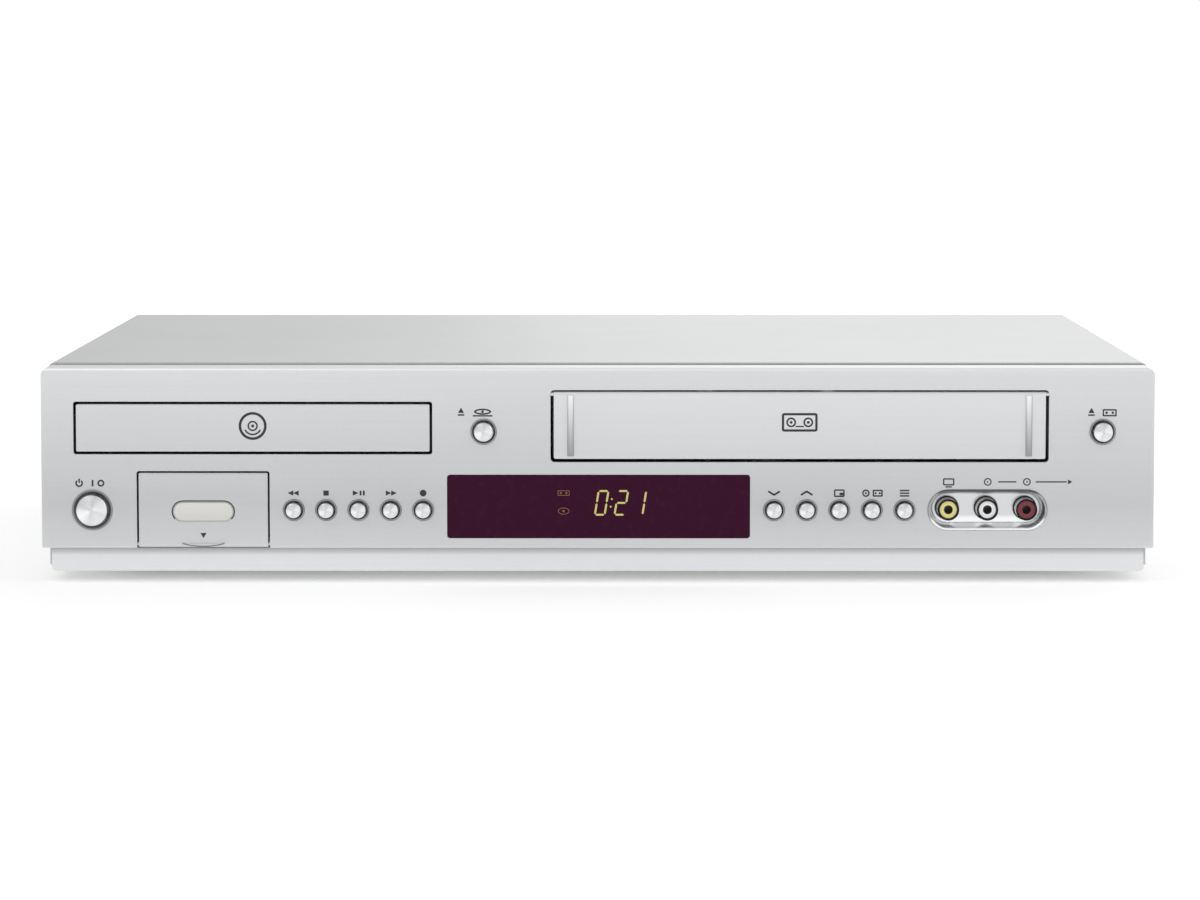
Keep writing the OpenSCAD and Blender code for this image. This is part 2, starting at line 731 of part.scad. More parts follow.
// Posts behind the face that the upright boards are screwed to
board_posts = [
    [power_x - 8.5, above(key_board_h - 2.6)], [transport_x + 20, above(key_board_h - 2.6)],
    [transport_x + 34, above(3.6)],
    [tray_button_x - 8, above(upper_z)], [tray_button_x + 8, above(upper_z)],
    [eject_x - 7, above(upper_z - 8)], [eject_x + 9, above(upper_z + 9)],
    [function_x + 2, above(3.6)], [function_x + 44, above(27)]];

module front_panel() color(silver) difference() {
    union() {
        difference() {
            panel_blank();
            prism_y(behind(panel_wall), pan_y0 + over) translate([-case_w / 2 + panel_wall, panel_z0 + panel_wall])
                quad(case_w - 2 * panel_wall, panel_h - 2 * panel_wall, [0.6, 0.6, 2, 2]);
        }
        prism_y(behind(panel_wall) - 0.2, behind(card_reader_front) - slide_gap)
            translate([card_x - card_w / 2 - card_tunnel_t, panel_z0])
                square([card_w + 2 * card_tunnel_t, card_h + card_tunnel_t]);
        for (p = board_posts) bar_y(p[0], p[1], 5, behind(panel_wall) - 0.2, board_y);
        for (x = [-100, 0, 100]) block([x - 1, behind(panel_wall) - 0.2, panel_z1 - 6], [x + 1, pan_y0, panel_z1 - 1]);
    }
    prism_y(face_y - over, behind(panel_wall) + over) {
        centred_quad(tray_x, tray_z, tray_door_w + 2 * tray_gap, tray_door_h + 2 * tray_gap, 1);
        translate([deck_x - flap_slot_w / 2, flap_z0]) quad(flap_slot_w, flap_slot_h, [1.5, 1.5, 1.5, 1.5]);
        centred_quad(window_x, above(window_z), window_w - 2 * window_ledge, window_h - 2 * window_ledge, window_r);
    }
    prism_y(face_y - over, behind(window_sink + window_t))
        centred_quad(window_x, above(window_z), window_w + 2 * window_play, window_h + 2 * window_play, window_r);
    prism_y(face_y - over, pan_y0 + over) translate([card_x - card_w / 2, panel_z0 - over])
        quad(card_w, card_h + over, [0, 0, 1, 1]);
    prism_y(face_y - over, behind(panel_wall) + over)
        stadium(jack_x, jack_z, jack_w + 2 * seat_gap, jack_h + 2 * seat_gap);
    for (k = all_keys) bar_y(k[0], k[1], k[3] + 2 * seat_gap, face_y - over, behind(panel_wall) + over);
    bar_x(card_axis_y, card_axis_z, hinge_d + 2 * run_gap,
        card_x - card_w / 2 - hinge_len, card_x + card_w / 2 + hinge_len);
    bar_x(flap_axis_y, flap_axis_z, hinge_d + 2 * run_gap,
        deck_x - flap_slot_w / 2 - hinge_len, deck_x + flap_slot_w / 2 + hinge_len);
}

module skirt_outline(grow) translate([-case_w / 2 + skirt_inset + grow, foot_h + grow])
    quad(case_w - 2 * skirt_inset - 2 * grow, skirt_h, [1, 1, 0, 0] * max(skirt_corner - grow, 0));

module front_skirt() color(pale_silver) difference() {
    prism_y(behind(skirt_setback), pan_y0) skirt_outline(0);
    prism_y(behind(skirt_setback + skirt_wall), pan_y0 + over) skirt_outline(skirt_wall);
}

module feet() color(dark_grey)
    for (sx = [-1, 1], y = [pan_y0 + foot_in_y, rear_y - foot_in_y])
        translate([sx * (case_w / 2 - foot_in_x), y, 0]) rotate_extrude() polygon([
            [3.5, foot_h - 1.5], [3.5, 1.5], [foot_d / 2 - 4, 0], [foot_d / 2 - 1.6, 0], [foot_d / 2 - 1, 0.6],
            [foot_d / 2, foot_h], [0, foot_h], [0, foot_h - 1.5]]);

module cross_head(depth) for (a = [0, 90]) rotate(a) translate([-1.6, -0.35, depth]) cube([3.2, 0.7, over]);

module case_screw(len) difference() {
    union() {
        cylinder(d = screw_head_d, h = screw_head_h);
        translate([0, 0, -len]) cylinder(d = screw_d, h = len);
    }
    cross_head(screw_head_h - 0.6);
}

module case_screws() color(dark_grey) {
    for (s = [-1, 1], y = screw_y) translate([s * cover_w / 2, y, screw_z]) rotate([0, s * 90, 0]) case_screw(5);
    for (x = rear_screw_x) translate([x, cover_y1, rear_screw_z]) rotate([-90, 0, 0]) case_screw(4);
}

// ---------- Front trims and controls ----------

module display_window() color(maroon)
    prism_y(behind(window_sink), behind(window_sink + window_t))
        centred_quad(window_x, above(window_z), window_w, window_h, window_r);

// A bright ring whose bore opens out like a funnel towards the face
module button_ring(cap_d, ring_d) {
    bore = cap_d / 2 + slide_gap;
    rim = ring_d / 2;
    rotate_extrude() polygon([
        [bore, 0], [rim, 0], [rim, panel_wall + ring_proud - 0.1], [rim - 0.1, panel_wall + ring_proud],
        [rim - ring_lip, panel_wall + ring_proud], [bore, panel_wall - (rim - bore) * 0.7]]);
}

module button_rings() color(chrome)
    for (k = all_keys) translate([k[0], behind(panel_wall), k[1]]) rotate([90, 0, 0]) button_ring(k[2], k[3]);

// A cap with a shallow dome and a bevelled rim, its collar, and the stem that presses the switch
module push_button(k) color(pale_silver) {
    front = face_y - cap_proud;
    collar_y = behind(panel_wall) + slide_gap;
    r = k[2] / 2;
    dome_r = k[2] * 2.2;
    rim = dome_r - sqrt(pow(dome_r, 2) - pow(r - cap_edge, 2));
    translate([k[0], front, k[1]]) rotate([-90, 0, 0]) intersection() {
        rotate_extrude() polygon([
            [0, -over], [r - cap_edge - rim - over, -over], [r, rim + cap_edge],
            [r, collar_y + collar_t - front], [0, collar_y + collar_t - front]]);
        translate([0, 0, dome_r]) sphere(dome_r);
    }
    bar_y(k[0], k[1], k[2] + 2, collar_y, collar_y + collar_t);
    bar_y(k[0], k[1], stem_d, collar_y, stem_end_y);
}

module transport_button(i) push_button(small_keys[i]);
module function_button(i) push_button(small_keys[5 + i]);

module power_button() push_button(power_key);
module rewind_button() transport_button(0);
module stop_button() transport_button(1);
module play_button() transport_button(2);
module fast_forward_button() transport_button(3);
module record_button() transport_button(4);
module channel_down_button() function_button(0);
module channel_up_button() function_button(1);
module view_button() function_button(2);
module source_button() function_button(3);
module scan_button() function_button(4);
module tray_open_button() push_button(upper_keys[0]);
module eject_button() push_button(upper_keys[1]);

// A hinged door: a plate whose hinge edge is round about its pins
module door_pins(x, w, y, z) for (s = [-1, 1])
    bar_x(y, z, hinge_d, x + s * w / 2 - (s > 0 ? 0.5 : hinge_len), x + s * w / 2 + (s > 0 ? hinge_len : 0.5));

module card_door() color(silver) difference() {
    w = card_w - 2 * card_gap;
    union() {
        face_plate(card_x, w, card_axis_z, panel_z0 + card_h - card_gap - card_axis_z, card_t,
            [0, 0, 0.6, 0.6], [0, door_edge, door_edge]);
        bar_x(card_axis_y, card_axis_z, card_t, card_x - w / 2, card_x + w / 2);
        door_pins(card_x, w, card_axis_y, card_axis_z);
        prism_y(face_y - lip_proud, card_axis_y) finger_lip();
    }
    prism_y(face_y - over, behind(0.5)) stadium(card_x, above(badge_z), badge_w, badge_h);
}

// A flat-topped crescent along the door's lower edge
module finger_lip() {
    r = (pow(lip_w / 2, 2) + pow(lip_rise, 2)) / (2 * lip_rise);
    low = panel_z0 + slide_gap + 0.3;
    intersection() {
        translate([card_x, low + r]) circle(r, $fn = 200);
        translate([card_x - lip_w / 2, low]) square([lip_w, lip_rise]);
    }
}

module tray_door() color(silver) {
    face_plate(tray_x, tray_door_w, tray_z - tray_door_h / 2, tray_door_h, tray_door_t,
        [1, 1, 1, 1] * 0.8, [1, 1, 1] * door_edge);
    for (s = [-1, 1]) translate([tray_x + s * 48, 0, 0])
        block([-5, behind(tray_door_t) - 0.2, tray_z0 + tray_t], [5, behind(tray_door_t) + 6, tray_z0 + tray_t + 1.2]);
}

module cassette_door() color(silver) {
    face_plate(deck_x, flap_w, flap_z0 + flap_gap, flap_axis_z - flap_z0 - flap_gap, flap_t,
        [1, 1, 0, 0], [door_edge, 0, door_edge]);
    bar_x(flap_axis_y, flap_axis_z, flap_t, deck_x - flap_w / 2, deck_x + flap_w / 2);
    door_pins(deck_x, flap_w, flap_axis_y, flap_axis_z);
    for (s = [-1, 1]) finger_bar(deck_x + s * bar_x);
}

// A half-round bar on the cassette's door, planed off towards its upper end
module finger_bar(x) intersection() {
    bar_z(x, face_y, bar_w, flap_z0 + bar_low, flap_z1 - bar_high);
    prism_x(x - bar_w, x + bar_w) polygon([
        [face_y + 0.2, flap_z0 + bar_low], [face_y - bar_out, flap_z0 + bar_low],
        [face_y - bar_fade, flap_z1 - bar_high], [face_y + 0.2, flap_z1 - bar_high]]);
}

// ---------- Front jacks ----------

// A stadium that narrows evenly towards its floor
module draft_stadium(w, h, depth, draft) {
    for (s = [-1, 1]) translate([s * (w - h) / 2, 0, 0])
        cylinder(d1 = h, d2 = h - 2 * draft, h = depth);
    rotate([90, 0, 90]) translate([0, 0, -(w - h) / 2]) linear_extrude(w - h)
        polygon([[-h / 2, 0], [h / 2, 0], [h / 2 - draft, depth], [-h / 2 + draft, depth]]);
}

module jack_surround() color(chrome) {
    rim = 0.9;
    difference() {
        prism_y(behind(-0.3), behind(jack_depth + jack_wall)) stadium(jack_x, jack_z, jack_w - 0.1, jack_h - 0.1);
        translate([jack_x, behind(-0.3), jack_z]) rotate([-90, 0, 0])
            draft_stadium(jack_w - 2 * rim, jack_h - 2 * rim, jack_depth + 0.3, jack_draft);
        for (x = jack_xs) bar_y(x, jack_z, shell_d + 2 * shell_collar + 2 * seat_gap, face_y,
            behind(jack_depth + jack_wall + over));
    }
}

module front_jack_shells() color(chrome) for (x = jack_xs) difference() {
    floor_y = behind(jack_depth);
    back_y = floor_y + jack_wall;
    union() {
        bar_y(x, jack_z, shell_d, face_y, floor_y + 0.2);
        bar_y(x, jack_z, shell_d + 2 * shell_collar, floor_y, back_y + 0.2);
        bar_y(x, jack_z, shell_d + 2.4, back_y, back_y + 1.5);
    }
    bar_y(x, jack_z, shell_d - 2 * shell_wall, face_y - over, back_y + 3);
}

module jack_insert(x, z, y0, y1) difference() {
    bar_y(x, z, shell_d - 2 * shell_wall - 2 * seat_gap, min(y0, y1), max(y0, y1));
    bar_y(x, z, jack_hole_d, min(y0 - sign(y1 - y0) * over, y1 - sign(y1 - y0) * 1.5),
        max(y0 - sign(y1 - y0) * over, y1 - sign(y1 - y0) * 1.5));
}

module front_insert(i) jack_insert(jack_xs[i], jack_z, behind(insert_sink), behind(jack_depth + jack_wall + 1.5));

module video_insert() color([0.90, 0.78, 0.16]) front_insert(0);
module left_audio_insert() color([0.93, 0.93, 0.91]) front_insert(1);
module right_audio_insert() color([0.62, 0.06, 0.12]) front_insert(2);

// ---------- Disc loader ----------

module disc_tray() color(dark_grey) {
    y0 = behind(tray_door_t);
    y1 = y0 + tray_len;
    pitch = PI * tooth_m;
    difference() {
        union() {
            prism_z(tray_z0, tray_z0 + tray_t) translate([tray_x - tray_w / 2, y0]) quad(tray_w, tray_len, [0, 0, 4, 4]);
            prism_z(tray_z0, tray_z0 + runner_t)
                translate([tray_x - runner_w / 2, y0 + 4]) quad(runner_w, tray_len - 4, [1, 1, 3, 3]);
        }
        bar_z(tray_x, spindle_y, disc_d, tray_z0 + tray_t - recess_depth, tray_z0 + tray_t + over);
        bar_z(tray_x, spindle_y, small_disc_d, tray_z0 + tray_t - 2 * recess_depth, tray_z0 + tray_t + over);
        bar_z(tray_x, spindle_y, tray_hole_w, tray_z0 - over, tray_z0 + tray_t + over);
        block([tray_x - tray_hole_w / 2, spindle_y, tray_z0 - over],
              [tray_x + tray_hole_w / 2, spindle_y + disc_d / 2, tray_z0 + tray_t + over]);
        for (s = [-1, 1]) bar_z(tray_x + s * disc_d / 2 * 0.72, spindle_y - disc_d / 2 * 0.72, 22,
            tray_z0 + tray_t - 2 * recess_depth, tray_z0 + tray_t + over);
        block([tray_x - tray_w / 2 + 3, y0 + 3, tray_z0 - over], [rack_x - 6, y0 + 13, tray_z0 + 2]);
        block([tray_x - tray_w / 2 + 3, y1 - 16, tray_z0 - over], [rack_x - 6, y1 - 3, tray_z0 + 2]);
    }
    translate([rack_x, gear_y, 0]) prism_z(gear_z, tray_z0 + 0.2)
        rack_outline(tooth_m, 1, floor((y1 - gear_y) / pitch - 0.6), 4);
}

module loader_frame() color(dark_grey) difference() {
    z1 = frame_z0 + loader_h;
    y1 = frame_y0 + loader_d;
    x0 = tray_x - loader_w / 2;
    x1 = tray_x + loader_w / 2;
    union() {
        block([x0, behind(card_reader_front + slide_gap), frame_z0], [x1, y1, frame_z0 + loader_wall]);
        block([x0, frame_y0, frame_z0], [x0 + loader_wall, y1, z1]);
        block([x1 - loader_wall, frame_y0, frame_z0], [x1, y1, z1]);
        block([x0, y1 - loader_wall, frame_z0], [x1, y1, z1]);
        for (s = [-1, 1]) translate([tray_x, 0, 0]) mirror([s < 0 ? 1 : 0, 0, 0]) {
            block([loader_w / 2 - loader_wall - ledge_w, frame_y0, tray_z0 - slide_gap - 2],
                  [loader_w / 2 - 1, y1 - 1, tray_z0 - slide_gap]);
            block([tray_w / 2 + 1.5, frame_y0 + 4, tray_z0 + runner_t + slide_gap],
                  [loader_w / 2 - 1, y1 - 1, tray_z0 + runner_t + slide_gap + 1.5]);
            block([traverse_w / 2 + 0.6, pivot_y - 5, frame_z0 - 3], [traverse_w / 2 + 4.6, pivot_y + 5, pivot_z + 4]);
        }
        bar_z(gear_x, gear_y, 8, frame_z0, gear_z - slide_gap);
        bar_z(gear_x, gear_y, gear_pin_d, frame_z0, gear_z + gear_t - slide_gap);
        bar_z(pulley_x, pulley_y, 8, frame_z0, pulley_z - slide_gap);
        bar_z(pulley_x, pulley_y, gear_pin_d, frame_z0, gear_z + gear_t - slide_gap);
    }
    prism_z(frame_z0 - over, frame_z0 + loader_wall + 0.01) translate([tray_x - traverse_w / 2 - 0.6, traverse_y0 - 4])
        square([traverse_w + 1.2, traverse_y1 - traverse_y0 + 8]);
    bar_z(motor_x, motor_y, 7, frame_z0 - over, frame_z0 + loader_wall + over);
    bar_x(pivot_y, pivot_z, pivot_d + 2 * run_gap, tray_x - traverse_w / 2 - 10, tray_x + traverse_w / 2 + 10);
    for (s = [-1, 1], y = loader_post_y)
        bar_z(tray_x + s * loader_post_x, y, 3.2, frame_z0 - over, frame_z0 + loader_wall + over);
    for (s = [-1, 1], i = [0:4]) block([tray_x + s * (loader_w / 2 - 1) - 2, frame_y0 + 22 + i * 32, frame_z0 + 5],
        [tray_x + s * (loader_w / 2 - 1) + 2, frame_y0 + 42 + i * 32, tray_z0 - 5]);
}

module tray_gear() color([0.92, 0.92, 0.88]) difference() {
    translate([gear_x, gear_y, 0]) prism_z(gear_z, gear_z + gear_t)
        rotate(180 + 180 / gear_teeth) gear_outline(tooth_m, gear_teeth);
    bar_z(gear_x, gear_y, gear_pin_d + 2 * run_gap, gear_z - over, gear_z + gear_t + over);
    for (a = [0:60:300]) bar_z(gear_x + 5.6 * cos(a), gear_y + 5.6 * sin(a), 3, gear_z - over, gear_z + gear_t + over);
}

// A wheel with a square groove for the belt
module belt_wheel(d, z) difference() {
    cylinder(d = d, h = pulley_t);
    translate([0, 0, groove_wall]) difference() {
        cylinder(d = d + 2, h = pulley_t - 2 * groove_wall);
        translate([0, 0, -over]) cylinder(d = d - 2 * groove_depth, h = pulley_t + 2 * over);
    }
}

module pulley_gear() color([0.92, 0.92, 0.88]) difference() {
    turn = pinion_dir + 180 - (180 + 180 / gear_teeth - pinion_dir) * gear_teeth / pinion_teeth + 180 / pinion_teeth;
    union() {
        translate([pulley_x, pulley_y, pulley_z]) belt_wheel(pulley_d);
        bar_z(pulley_x, pulley_y, 9, pulley_z + pulley_t - 0.2, gear_z + 0.2);
        translate([pulley_x, pulley_y, 0]) prism_z(gear_z, gear_z + gear_t)
            rotate(turn) gear_outline(tooth_m, pinion_teeth);
    }
    bar_z(pulley_x, pulley_y, gear_pin_d + 2 * run_gap, pulley_z - over, gear_z + gear_t + over);
}

module motor_pulley() color([0.90, 0.90, 0.86]) difference() {
    translate([motor_x, motor_y, pulley_z]) belt_wheel(motor_pulley_d);
    bar_z(motor_x, motor_y, 2 + 2 * run_gap, pulley_z - over, pulley_z + pulley_t + over);
}

// A small round motor with two flats, its nose in the frame's hole and its shaft upright
module loader_motor() color(steel) {
    intersection() {
        bar_z(motor_x, motor_y, motor_d, frame_z0 - motor_len, frame_z0);
        block([motor_x - motor_d / 2, motor_y - 8, frame_z0 - motor_len],
              [motor_x + motor_d / 2, motor_y + 8, frame_z0]);
    }
    bar_z(motor_x, motor_y, 6.4, frame_z0 - 0.2, frame_z0 + 1.4);
    bar_z(motor_x, motor_y, 2, frame_z0, pulley_z + pulley_t + 0.5);
}

module belt_loop(grow) hull() {
    translate([pulley_x, pulley_y]) circle(r = pulley_d / 2 - groove_depth + grow, $fn = 32);
    translate([motor_x, motor_y]) circle(r = motor_pulley_d / 2 - groove_depth + grow, $fn = 32);
}

module loader_belt() color(black) {
    mid = pulley_z + pulley_t / 2;
    prism_z(mid - belt_t / 2, mid + belt_t / 2) difference() {
        belt_loop(slide_gap + belt_t);
        belt_loop(slide_gap);
    }
}

module traverse_frame() color(steel) difference() {
    x0 = tray_x - traverse_w / 2;
    z1 = traverse_z0 + traverse_t;
    union() {
        prism_z(traverse_z0, z1) translate([x0, traverse_y0]) quad(traverse_w, traverse_y1 - traverse_y0, [6, 6, 3, 3]);
        bar_z(tray_x, spindle_y, boss_d, z1 - 0.2, z1 + boss_h);
        for (s = [-1, 1]) bar_x(pivot_y, pivot_z, pivot_d,
            tray_x + (s > 0 ? traverse_w / 2 - 2 : -traverse_w / 2 - pivot_reach),
            tray_x + (s > 0 ? traverse_w / 2 + pivot_reach : -traverse_w / 2 + 2));
    }
    block([tray_x - rail_span / 2 - 5, bay_y0, traverse_z0 - over], [tray_x + rail_span / 2 + 5, bay_y1, z1 + over]);
    bar_z(tray_x, spindle_y, spindle_d + 2 * run_gap, traverse_z0 - over, z1 + boss_h + over);
    for (s = [-1, 1]) bar_y(tray_x + s * rail_span / 2, rail_z, rail_d + 2 * seat_gap,
        bay_y0 - rail_seat, bay_y1 + rail_seat);
    for (x = [tray_x - pocket_x, tray_x + pocket_x])
        block([x - pocket_w / 2, traverse_y0 + 8, traverse_z0 - over], [x + pocket_w / 2, spindle_y - 6, traverse_z0 + 3]);
}

module pickup_rails() color(chrome)
    for (s = [-1, 1]) bar_y(tray_x + s * rail_span / 2, rail_z, rail_d,
        bay_y0 - rail_seat + 0.2, bay_y1 + rail_seat - 0.2);

// The spindle motor's outer rotor with the platter and the centring cone on top
module turntable() color(dark_grey) {
    top = tray_z0 - platter_drop;
    rotor_z = traverse_z0 + traverse_t + boss_h + slide_gap;
    bar_z(tray_x, spindle_y, spindle_d, traverse_z0 + 1, rotor_z + 1);
    bar_z(tray_x, spindle_y, rotor_d, rotor_z, rotor_z + rotor_h);
    bar_z(tray_x, spindle_y, hub_d, rotor_z + rotor_h - 0.2, top - platter_t + 0.1);
    bar_z(tray_x, spindle_y, turntable_d, top - platter_t, top);
    translate([tray_x, spindle_y, top - 0.1]) cylinder(d1 = cone_d, d2 = cone_top_d, h = cone_h);
}

module optical_pickup() color(black) difference() {
    y1 = pickup_y0 + pickup_len;
    half = rail_span / 2 + 4.4;
    z0 = traverse_z0 + 0.5;
    lens_y = pickup_y0 + lens_in;
    union() {
        block([tray_x - half, pickup_y0 + 4, z0], [tray_x + half, y1 - 4, z0 + 5]);
        block([tray_x - pickup_w / 2, pickup_y0, z0 - 2.5], [tray_x + pickup_w / 2, y1, z0 + 6]);
        bar_z(tray_x, lens_y, lens_ring_d, z0 + 5.8, z0 + 8);
        bar_z(tray_x, lens_y, lens_d, z0 + 7.8, z0 + 9.4);
    }
    for (s = [-1, 1]) bar_y(tray_x + s * rail_span / 2, rail_z, rail_d + 2 * run_gap, pickup_y0 - over, y1 + over);
}

module clamp_bridge() color(steel) difference() {
    union() {
        block([tray_x - loader_w / 2, spindle_y - bridge_d / 2, bridge_z],
              [tray_x + loader_w / 2, spindle_y + bridge_d / 2, bridge_z + bridge_t]);
        for (s = [-1, 1]) translate([tray_x, spindle_y + s * (bridge_d / 2 - 1), 0])
            block([-loader_w / 2, -1, bridge_z], [loader_w / 2, 1, bridge_z + 4]);
        for (s = [-1, 1]) translate([tray_x, spindle_y, 0]) rotate(90 - s * 90)
            block([clamp_neck_d / 2 + 4, -1, bridge_z], [loader_w / 2, 1, bridge_z + 3]);
    }
    bar_z(tray_x, spindle_y, clamp_neck_d + 2 * slide_gap, bridge_z - over, bridge_z + 5);
}

module disc_clamp() color(black) difference() {
    low = tray_z0 + tray_t + 0.8;
    top = bridge_z + bridge_t + slide_gap;
    union() {
        bar_z(tray_x, spindle_y, clamp_d, low, bridge_z - 0.6);
        bar_z(tray_x, spindle_y, clamp_neck_d, low, top + 1);
        bar_z(tray_x, spindle_y, clamp_neck_d + 4, top, top + 1.8);
    }
    bar_z(tray_x, spindle_y, 15.6, low - over, low + 1.6);
}

// ---------- Tape deck ----------

module slot_hole(a, b, d) translate(a) rotate(atan2(b[1] - a[1], b[0] - a[0])) {
    len = norm(b - a);
    for (x = [0, len]) translate([x, 0]) circle(d = d);
    translate([0, -d / 2]) square([len, d]);
}

module deck_plate() color(steel) difference() {
    union() {
        prism_z(deck_z, deck_top) translate([deck_x - deck_w / 2, deck_y0]) quad(deck_w, deck_d, [2, 2, 8, 8]);
        for (s = [-1, 1]) {
            bar_z(deck_x + s * reel_span / 2, reel_y, 9, deck_top - 0.2, deck_top + 1.6);
            bar_z(deck_x + s * reel_span / 2, reel_y, reel_pin_d, deck_top - 0.2, deck_top + 20);
            bar_z(drum_x + s * tape_post_out, reel_y + tape_post_back, 5, deck_top - 0.2, deck_top + tape_post_h);
            bar_z(drum_x + s * tape_post_out, reel_y + tape_post_back, 8, deck_top - 0.2, deck_top + 4);
        }
        bar_z(capstan_x, capstan_y, 12, deck_top - 0.2, deck_top + 2.2);
        bar_z(pinch_x, pinch_y, 8, deck_top - 0.2, deck_top + 2.4);
        bar_z(pinch_x, pinch_y, pinch_pin_d, deck_top - 0.2, deck_top + 28);
        block([deck_x + 34, capstan_y - 9, deck_top - 0.2], [deck_x + 41, capstan_y + 2, deck_top + 22]);
        block([deck_x - 58, capstan_y + 2, deck_top - 0.2], [deck_x - 46, capstan_y + 10, deck_top + 22]);
    }
    bar_z(capstan_x, capstan_y, capstan_d + 2 * run_gap, deck_z - over, deck_top + 3);
    for (s = [-1, 1], y = deck_post_y) bar_z(deck_x + s * deck_post_x, y, 3.2, deck_z - over, deck_top + over);
    prism_z(deck_z - over, deck_top + over) for (s = [-1, 1])
        slot_hole([deck_x + s * 24, reel_y + 34], [drum_x + s * 40, drum_y + 4], 5);
}

// Two side plates with the holder's guide slots, and two bridges between them
module carriage_frame() color(steel) difference() {
    y1 = carriage_y0 + carriage_d;
    union() {
        for (s = [-1, 1]) translate([deck_x, 0, 0]) mirror([s < 0 ? 1 : 0, 0, 0]) {
            block([carriage_in, carriage_y0, holder_z0 - 4], [carriage_in + carriage_t, y1, carriage_top]);
            block([carriage_in, deck_y0 + 2, deck_top], [carriage_in + carriage_t, y1, holder_z0]);
        }
        for (y = [carriage_y0, y1 - 26]) block([deck_x - carriage_in - carriage_t, y, carriage_top - carriage_t],
            [deck_x + carriage_in + carriage_t, y + 26, carriage_top]);
    }
    prism_x(deck_x - carriage_in - carriage_t - over, deck_x + carriage_in + carriage_t + over) {
        slot_hole([guide_y, guide_z], [guide_y + holder_travel, guide_z], guide_d + 2 * slide_gap);
        slot_hole([guide_y + holder_travel, guide_z], [guide_y + holder_travel, guide_z - 22], guide_d + 2 * slide_gap);
    }
    for (x = [-60, 0, 60]) bar_z(deck_x + x, carriage_y0 + 13, 10, carriage_top - 4, carriage_top + over);
}

// The basket that a cassette slides into, open below between its two side channels
module cassette_holder() color(steel) {
    y1 = holder_y0 + holder_d;
    half = holder_w / 2;
    out = half + carriage_t;
    difference() {
        union() {
            block([deck_x - out, holder_y0, holder_z1 - carriage_t], [deck_x + out, y1, holder_z1]);
            for (s = [-1, 1]) translate([deck_x, 0, 0]) mirror([s < 0 ? 1 : 0, 0, 0]) {
                block([half, holder_y0, holder_z0], [out, y1, holder_z1]);
                block([half - 24, holder_y0, holder_z0], [out, y1, holder_z0 + carriage_t]);
                bar_x(guide_y, guide_z, guide_d, half + 0.5, carriage_in + carriage_t + 0.8);
            }
        }
        block([deck_x - 30, holder_y0 + 18, holder_z1 - 3], [deck_x + 30, y1 - 14, holder_z1 + over]);
    }
}

module reel(x) difference() {
    z0 = deck_top + 1.6 + slide_gap;
    union() {
        bar_z(x, reel_y, reel_d, z0, z0 + 3);
        bar_z(x, reel_y, 22, z0, z0 + 5.5);
        bar_z(x, reel_y, 15, z0, z0 + 17);
        translate([x, reel_y, z0 + 17]) cylinder(d1 = 15, d2 = 8, h = 4);
        for (a = [0:60:300]) translate([x, reel_y, 0]) rotate(a) block([6, -0.8, z0], [10.4, 0.8, z0 + 15]);
    }
    bar_z(x, reel_y, reel_pin_d + 2 * run_gap, z0 - over, deck_top + 20 + slide_gap);
}

module supply_reel() color(black) reel(deck_x - reel_span / 2);
module takeup_reel() color(black) reel(deck_x + reel_span / 2);

module drum_place() translate([drum_x, drum_y, deck_top + drum_lift]) rotate([-drum_tilt, 0, 0]) children();

module drum_base() color(chrome) {
    difference() {
        drum_place() difference() {
            cylinder(d = drum_d, h = drum_base_h);
            translate([0, 0, 2]) cylinder(d = drum_shaft_d + 2 * run_gap, h = drum_base_h);
            for (z = [5, 9]) translate([0, 0, z]) difference() {
                cylinder(d = drum_d + 2, h = 0.8);
                cylinder(d = drum_d - 1.2, h = 0.8);
            }
        }
        block([drum_x - 40, drum_y - 40, 0], [drum_x + 40, drum_y + 40, deck_top]);
    }
    difference() {
        bar_z(drum_x, drum_y, 26, deck_top, deck_top + drum_lift + 1.9);
        drum_place() translate([-20, -20, 1]) cube([40, 40, 10]);
    }
}

module drum_rotor() color(chrome) drum_place() difference() {
    z0 = drum_base_h + slide_gap;
    union() {
        translate([0, 0, z0]) cylinder(d = drum_d, h = drum_rotor_h);
        translate([0, 0, z0 + drum_rotor_h - 0.2]) cylinder(d = 18, h = 4.2);
        translate([0, 0, 4]) cylinder(d = drum_shaft_d, h = z0);
    }
    translate([0, 0, z0 + drum_rotor_h - 4]) difference() {
        cylinder(d = drum_d - 8, h = 5);
        translate([0, 0, -over]) cylinder(d = 24, h = 5 + 2 * over);
    }
    for (a = [0:90:270]) rotate(a) translate([drum_d / 2 - 1.2, -1.5, z0 - over]) cube([3, 3, 4]);
}

module capstan() color(chrome) {
    bar_z(capstan_x, capstan_y, capstan_d, flywheel_z, capstan_top);
    difference() {
        bar_z(capstan_x, capstan_y, flywheel_d, flywheel_z, flywheel_z + flywheel_t);
        translate([capstan_x, capstan_y, flywheel_z - over]) difference() {
            cylinder(d = flywheel_d - 8, h = over + 2);
            translate([0, 0, -over]) cylinder(d = 14, h = 3 * over + 2);
        }
    }
}

// A swinging arm in two plates with a rubber roller between them
module pinch_arm() color(dark_grey) translate([pinch_x, pinch_y, deck_top + 2.4 + slide_gap]) rotate(pinch_rest) {
    h = 23;
    difference() {
        union() {
            cylinder(d = 8, h = h);
            for (z = [0, h - 1.6]) prism_z(z, z + 1.6) slot_hole([0, 0], [pinch_len, 0], 7);
            translate([pinch_len, 0, 0]) cylinder(d = 3, h = h);
        }
        translate([0, 0, -over]) cylinder(d = pinch_pin_d + 2 * run_gap, h = h + 2 * over);
    }
    translate([pinch_len, 0, 1.6 + slide_gap]) difference() {
        cylinder(d = pinch_d, h = h - 3.2 - 2 * slide_gap);
        translate([0, 0, -over]) cylinder(d = 3 + 2 * run_gap, h = h);
    }
}

